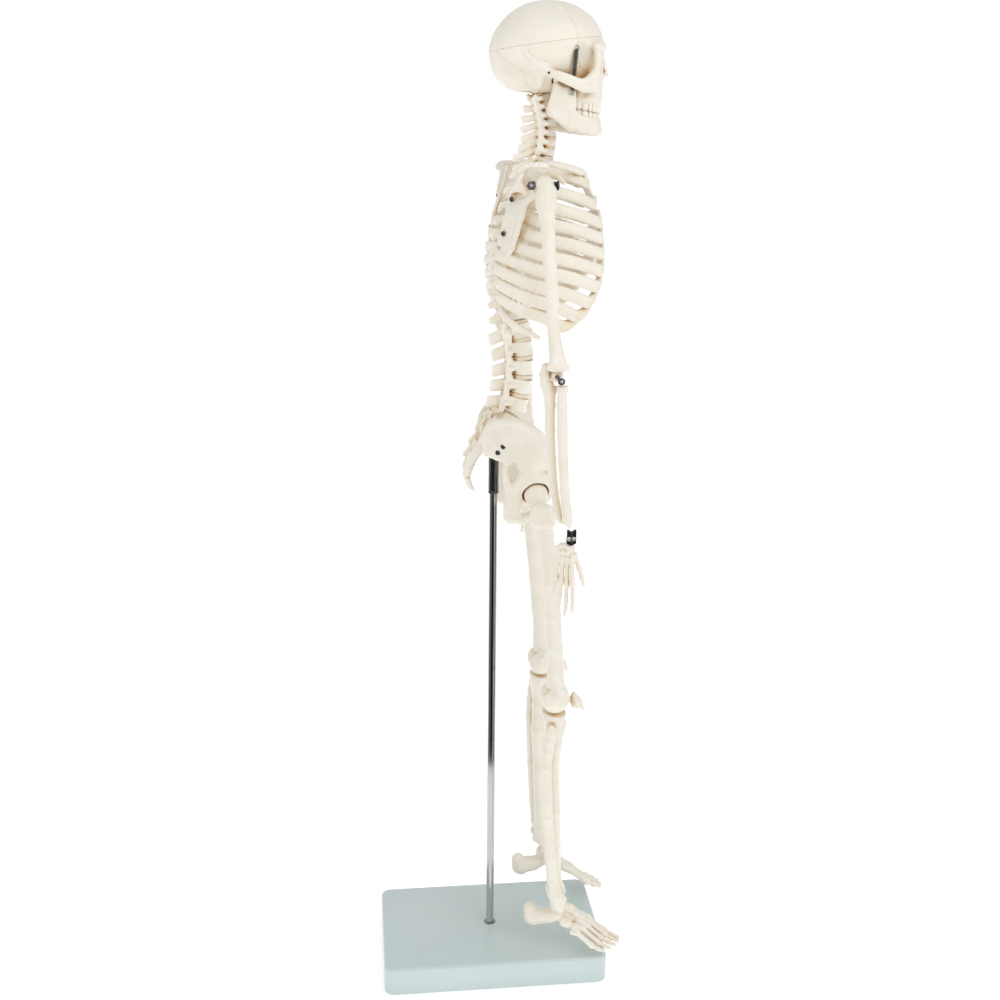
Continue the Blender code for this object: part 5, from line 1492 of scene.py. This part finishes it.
def make_leg():
    f = Field((-74, -70, 262), (-20, -14, 475), 0.8)
    f.add(oval(HIP, (10, 10, 10)), 0)
    f.add(chain([(-46, -31.8, 458, 6.2), (-53, -33.6, 453.2, 5.4), (-57.5, -34.5, 450, 6.0)]), 1.6)
    f.add(solid((-60.5, -28.4, 453.6, 4.4), (-61.2, -38.5, 452.6, 5.2), (-60, -31, 443.6, 6.8),
                (-60, -39, 443.6, 6.8)), 2)
    f.add(limb((-53, -27.5, 441, 2.8), (-55.5, -31, 438, 4.0)), 2.2)
    f.add(chain([(-58.6, -35.2, 444, 6.8), (-57.8, -37.4, 432, 6.8), (-56.6, -40.0, 415, 6.4),
                 (-54.6, -43.4, 388, 6.3),
                 (-51.6, -46.6, 357, 6.4), (-48, -49.4, 325, 6.6), (-45.2, -50.6, 303, 7.0),
                 (-43.4, -51.2, 291, 8.2)]), 2.5)
    f.add(chain([(-57, -31, 436, 2.0), (-54.6, -37.6, 400, 1.6), (-51, -41.6, 360, 1.6),
                 (-47.6, -44.4, 322, 1.6)]), 2.5)
    for x in (-50.6, -33.4):
        f.add(oval((x, -50, 276.6), (6.4, 11.0, 10.9)), 2.5)
        f.add(oval((x * 0.9 - 4.2, -54.2, 279.5), (5.4, 8.6, 9.2)), 2.5)
    f.add(oval((-42, -56.5, 282), (8.5, 6.0, 7.0)), 3)
    f.add(limb((-55.2, -49.5, 281, 3.6), (-54.4, -49.5, 276, 3.4)), 2)
    f.add(limb((-28.8, -49.5, 282, 3.6), (-29.6, -49.5, 276, 3.4)), 2)
    f.cut(oval((-42, -43, 270), (4.2, 9.5, 9.5)), 1.5)
    f.cut(oval((-42, -64.5, 272), (3.2, 4.0, 9)), 2.5)
    f.cut(limb((-30, HIP[1], HIP[2], 1.7), (-46, HIP[1], HIP[2], 1.7)), 0)
    bone_pair("thigh_bone", carved(f), "thigh", "femur")

    f = Field((-52, -82, 256), (-32, -57, 288), 0.5)
    f.add(solid((-42, -67.8, 279.4, 2.0), (-36.8, -69.4, 273, 2.6), (-47.2, -69.4, 273, 2.6),
                (-42, -75.6, 265.6, 2.0)), 1.2)
    f.add(oval((-42, -70.6, 272.4), (6.4, 4.2, 7.2), tilt=-38), 1.5)
    f.add(solid((-42, -67.6, 277, 2.0), (-38.6, -67.2, 269.8, 2.0), (-45.4, -67.2, 269.8, 2.0),
                (-42, -70.8, 267.2, 2.0)), 1.6)
    f.add(limb((-42, -67, 272.5, 2.2), (-42, -63.2, 274.6, 1.8)), 1.2)
    bone_pair("knee_cap", carved(f), "thigh", "patella")

    bolt = aimed(lathe([(0, 0), (1.6, 0), (1.6, 12.6), (0, 12.6)], 24), (-45.3, HIP[1], HIP[2]), (1, 0, 0))
    steel_pair(("hip_pin", bolt, "hip_bolt", DARK_STEEL, "hip_bolt", SHARP))

    f = Field((-66, -72, 64), (-26, -34, 268), 0.75)
    top = drum(14.0, 10.4, 2.2, 0.0, 0.8)
    f.add(seated(top, (-42, -50.5, 261.4), [[1, 0, 0], [0, 0.998, 0.06], [0, -0.06, 0.998]]), 0)
    f.add(solid((-35.6, -50.5, 258.5, 4.4), (-48.8, -50.5, 258.5, 4.6), (-42, -51.4, 243, 6.6),
                (-42, -56.5, 254, 4.4)), 2.5)
    f.add(limb((-42, -59.4, 252, 2.6), (-42, -57.4, 244, 2.6)), 2)
    f.add(solid((-38, -44.5, 258.5, 3.4), (-48, -44.5, 258.5, 3.4), (-43, -46.5, 240, 3.6),
                (-44, -50, 248, 6.0)), 2.5)
    f.add(chain([(-42, -51.4, 246, 7.0), (-42.2, -49.9, 230, 6.6), (-42.8, -49.2, 205, 6.3),
                 (-43.4, -51.4, 165, 6.3),
                 (-44.0, -52.6, 130, 6.0), (-44.2, -54.0, 104, 6.0), (-44, -55.4, 90, 6.4)]), 2)
    f.add(chain([(-42, -57.4, 244, 2.4), (-41.8, -54.6, 215, 1.9), (-42.4, -55.9, 165, 1.9),
                 (-43, -57.6, 120, 1.8)]), 2.2)
    f.add(solid((-44, -54.8, 94, 6.4), (-49.4, -56.8, 86, 4.4), (-38.6, -56.8, 86, 4.4),
                (-44, -50.4, 88, 4.6)), 2)
    f.add(limb((-48.0, -60.4, 87, 3.8), (-40.0, -60.4, 87, 3.8)), 2)
    f.add(chain([(-36.4, -56.4, 87, 4.0), (-33.2, -56.8, 79, 2.8), (-32.9, -57.0, 75.2, 2.0)]), 2)
    f.cut(limb((-51.5, ANKLE[1], ANKLE[2], 7.8), (-40, ANKLE[1], ANKLE[2], 7.8)), 0.6)
    f.cut(block((-36.7, -66, 60), (-45, -48, 74)), 0.4)
    f.cut(oval((-46.5, -49.5, 265.6), (4.6, 5.0, 1.6)), 0.8)
    f.cut(oval((-37.5, -49.5, 265.6), (4.6, 5.0, 1.6)), 0.8)
    bone_pair("shin_bone", carved(f), "shank", "tibia")

    f = Field((-68, -68, 64), (-44, -36, 262), 0.65)
    f.add(chain([(-55.6, -46.4, 254, 3.0), (-55.4, -46.6, 249.5, 4.6), (-54.4, -45.4, 241, 4.8),
                 (-53.4, -44.0, 230, 4.6),
                 (-53.0, -43.4, 215, 4.5), (-53.0, -45.6, 165, 4.6), (-53.4, -48.4, 125, 4.9),
                 (-54.4, -50.8, 102, 5.2),
                 (-56.2, -54.0, 88, 5.4), (-57.0, -56.4, 79, 4.8), (-57.0, -57.6, 73.2, 3.0)]), 1.6)
    f.add(solid((-55.6, -49.4, 90, 4.0), (-56.0, -60.0, 84, 3.8), (-56.6, -56.4, 78, 4.0)), 2)
    bone_pair("calf_bone", carved(f), "shank", "fibula")


def make_feet():
    right = foot(20.0)
    bone("foot_bones_right", right, "foot_right", ["foot_right"])
    bone("foot_bones_left", mirrored(foot(-4.0)), "foot_left", ["foot_left"])


def foot(yaw):
    """The right foot's bones, turned outwards by yaw degrees.

    The balls are (forward, outward, up, r) from the ankle.
    """
    angle = math.radians(yaw)

    def put(balls):
        return [(ANKLE[0] - out * math.cos(angle) - ahead * math.sin(angle),
                 ANKLE[1] - ahead * math.cos(angle) + out * math.sin(angle), ANKLE[2] + up, r)
                for ahead, out, up, r in balls]
    f = Field((-84, -122, 32), (-22, -20, 84), 0.6)
    f.add([solid(*put([(0, -2.8, 0, 5.4), (0, 2.8, 0, 5.4), (0, 0, 0, 7.0)]))], 0.8)
    f.add(chain(put([(0, 0, -3, 6), (7, -2, -4.5, 4.4), (11.5, -3.2, -6.5, 5.0)])), 1)
    f.add(chain(put([(2, 3, -9.5, 5.6), (-6, 2.4, -12.6, 6.2), (-15, 1.4, -14.0, 7.2), (-22.6, 1, -15.8, 7.6),
                     (-24.6, 1, -9.0, 6.4)])), 2)
    f.add(limb(*put([(-20, 3.5, -19.5, 4.0), (-20, -2, -19.5, 3.6)])), 1.5)
    f.add(limb(*put([(-24, 2.4, -17.5, 4.6), (-8, 1.4, -17, 4.0)])), 2)
    f.add(limb(*put([(1, -3, -9, 3.2), (3, -7, -8.5, 2.2)])), 1.5)
    f.add(limb(*put([(8, 7.0, -13.5, 4.4), (12, 7.6, -14.5, 4.4)])), 0.7)
    f.add(limb(*put([(15.4, -4.6, -9.6, 4.5), (16.6, -2.0, -9.6, 4.6)])), 0.7)
    f.add(limb(*put([(18.5, 8.4, -16.4, 4.0), (19.5, 8.0, -16.8, 4.0)])), 0.7)
    for out, up, r in ((-7.2, -14.0, 3.9), (-2.4, -12.6, 3.5), (2.2, -14.2, 3.4)):
        f.add(limb(*put([(20.5, out, up + 0.8, r), (23.6, out, up - 0.8, r)])), 0.5)
    f.add(chain(put([(8, 0, -12, 4.6), (20, 1, -16.0, 3.6)])), 0.6)
    rays = [  # base, head, then the toe's joints: (forward, outward, up)
        [(26.5, -7.6, -15.6), (43.0, -9.6, -28.0), (50.2, -9.8, -31.4), (56.4, -9.6, -33.2)],
        [(27.0, -2.6, -14.6), (45.0, -4.2, -28.4), (51.6, -4.6, -31.8), (57.4, -4.8, -33.6)],
        [(26.0, 1.9, -15.6), (43.0, 1.2, -29.2), (49.6, 1.2, -32.2), (55.4, 1.2, -33.8)],
        [(24.0, 6.2, -17.2), (40.0, 6.4, -30.0), (46.4, 6.8, -32.6), (51.6, 7.0, -33.8)],
        [(20.0, 11.0, -19.4), (35.6, 11.8, -30.8), (41.6, 12.3, -33.0), (46.6, 12.5, -33.8)],
    ]
    for i, ray in enumerate(rays):
        stout = 1.3 if i == 0 else 1.0
        for k, (a, b) in enumerate(zip(ray, ray[1:])):
            a, b = np.array(a, float), np.array(b, float)
            gap = (b - a) / np.linalg.norm(b - a) * 0.45
            a, b = a + gap, b - gap
            knuckle, mid, end = ((3.1, 2.15, 2.9), (2.35, 1.75, 2.05), (1.95, 1.55, 1.6))[k]
            f.add(chain(put([(*a, knuckle * stout), (*(a * 0.68 + b * 0.32), mid * stout),
                             (*(a * 0.32 + b * 0.68), mid * stout), (*b, end * stout)])), 0.5)
    f.add(limb(*put([(17, 12.2, -19.6, 2.6), (22, 11.2, -20, 2.8)])), 1)
    return carved(f)


# ---------------------------------------------------------------- light, floor and camera

CAMERA_PLACE = Vector((-1.03535, 0.11349, 0.73615))
CAMERA_LOOK = Vector((0.95683932, -0.11021348, -0.26890799))
CAMERA_UP = Vector((0.26828341, -0.02073865, 0.96311677))
CAMERA_LENS = 44.92
WORLD_LIGHT, WORLD_SEEN = 0.72, 1.0         # strength as light, and as the white backdrop
KEY_POWER, FILL_POWER = 8.0, 2.4
FLAG_NEAR, FLAG_FAR, FLAG_HEIGHT = 0.37, 2.6, 0.002
FLAG_STEPS = 8
VIEW_AZIMUTH = 173.7                        # degrees, from the model to the camera


def make_camera():
    data = bpy.data.cameras.new("camera")
    data.lens = CAMERA_LENS
    camera = bpy.data.objects.new("camera", data)
    bpy.context.scene.collection.objects.link(camera)
    right = CAMERA_LOOK.cross(CAMERA_UP)
    turn = Matrix((right, CAMERA_UP, -CAMERA_LOOK)).transposed()
    camera.matrix_world = Matrix.Translation(CAMERA_PLACE) @ turn.to_4x4()
    bpy.context.scene.camera = camera


def area_light(name, place, target, size, power, colour=(1, 1, 1)):
    data = bpy.data.lights.new(name, "AREA")
    data.shape = "RECTANGLE"
    data.size, data.size_y = size
    data.energy = power
    data.color = colour
    light = bpy.data.objects.new(name, data)
    bpy.context.scene.collection.objects.link(light)
    light.location = place
    light.rotation_mode = "QUATERNION"
    light.rotation_quaternion = (Vector(target) - Vector(place)).to_track_quat("-Z", "Y")


def make_studio():
    world = bpy.data.worlds.new("studio")
    bpy.context.scene.world = world
    world.use_nodes = True
    nodes, links = world.node_tree.nodes, world.node_tree.links
    background = nodes["Background"]
    background.inputs["Color"].default_value = (1, 1, 1, 1)
    strength = nodes.new("ShaderNodeMapRange")
    strength.inputs["To Min"].default_value = WORLD_LIGHT
    strength.inputs["To Max"].default_value = WORLD_SEEN
    links.new(nodes.new("ShaderNodeLightPath").outputs["Is Camera Ray"], strength.inputs["Value"])
    links.new(strength.outputs["Result"], background.inputs["Strength"])

    n = Nodes("pale_floor")
    n.link(n.ramp(n.noise(2.0, 2.0), [(0.3, (0.93, 0.93, 0.93)), (0.7, (0.95, 0.95, 0.95))]),
           n.shader.inputs["Base Color"])
    n.set(Roughness=0.6, Emission_Color=(1, 1, 1, 1), Emission_Strength=0.38)
    shape = bmesh.new()
    bmesh.ops.create_grid(shape, x_segments=8, y_segments=8, size=6.0)
    mesh = finished(shape, "floor")
    mesh.materials.append(n.material)
    floor = bpy.data.objects.new("floor", mesh)
    bpy.context.scene.collection.objects.link(floor)
    floor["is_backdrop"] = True

    # Dark sheets on the floor that only reflections see: degrees from the view axis, and grey level.
    for name, first, last, shade in (("flag_centre", -22, 30, 0.006), ("flag_left", 30, 105, 0.16),
                                     ("flag_right", -105, -22, 0.22)):
        shape = bmesh.new()
        rings = []
        for reach in (FLAG_NEAR, FLAG_FAR):
            ring = []
            for t in range(FLAG_STEPS + 1):
                angle = math.radians(VIEW_AZIMUTH - first - (last - first) * t / FLAG_STEPS)
                ring.append(shape.verts.new((reach * math.cos(angle), reach * math.sin(angle), FLAG_HEIGHT)))
            rings.append(ring)
        for t in range(FLAG_STEPS):
            shape.faces.new((rings[0][t], rings[0][t + 1], rings[1][t + 1], rings[1][t]))
        mesh = finished(shape, name)
        n = Nodes(name)
        n.link(n.ramp(n.noise(3.0, 1.0), [(0.3, (shade, shade, shade)),
                                          (0.7, (shade * 1.3, shade * 1.3, shade * 1.3))]),
               n.shader.inputs["Base Color"])
        n.set(Roughness=0.9, Specular_IOR_Level=0.0)
        mesh.materials.append(n.material)
        flag = bpy.data.objects.new(name, mesh)
        bpy.context.scene.collection.objects.link(flag)
        flag.visible_camera = False
        flag.visible_diffuse = False
        flag.visible_shadow = False
        flag.visible_transmission = False
        flag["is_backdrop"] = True

    area_light("key", (-1.3, -0.9, 1.7), (0, -0.03, 0.5), (1.4, 1.4), KEY_POWER)
    area_light("fill", (-1.2, 1.4, 1.1), (0, 0, 0.5), (1.2, 1.6), FILL_POWER)
    bpy.context.scene.view_settings.view_transform = "Standard"


# ---------------------------------------------------------------- everything

make_camera()
make_studio()
make_stand()
make_skull()
make_jaw()
make_spine()
make_ribs()
make_girdle()
make_arm()
make_hand()
make_pelvis()
make_leg()
make_feet()

boxes = {"cad": cad_box, "visual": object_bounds()}
{name: [list(corner) for corner in box] for name, box in boxes.items()}
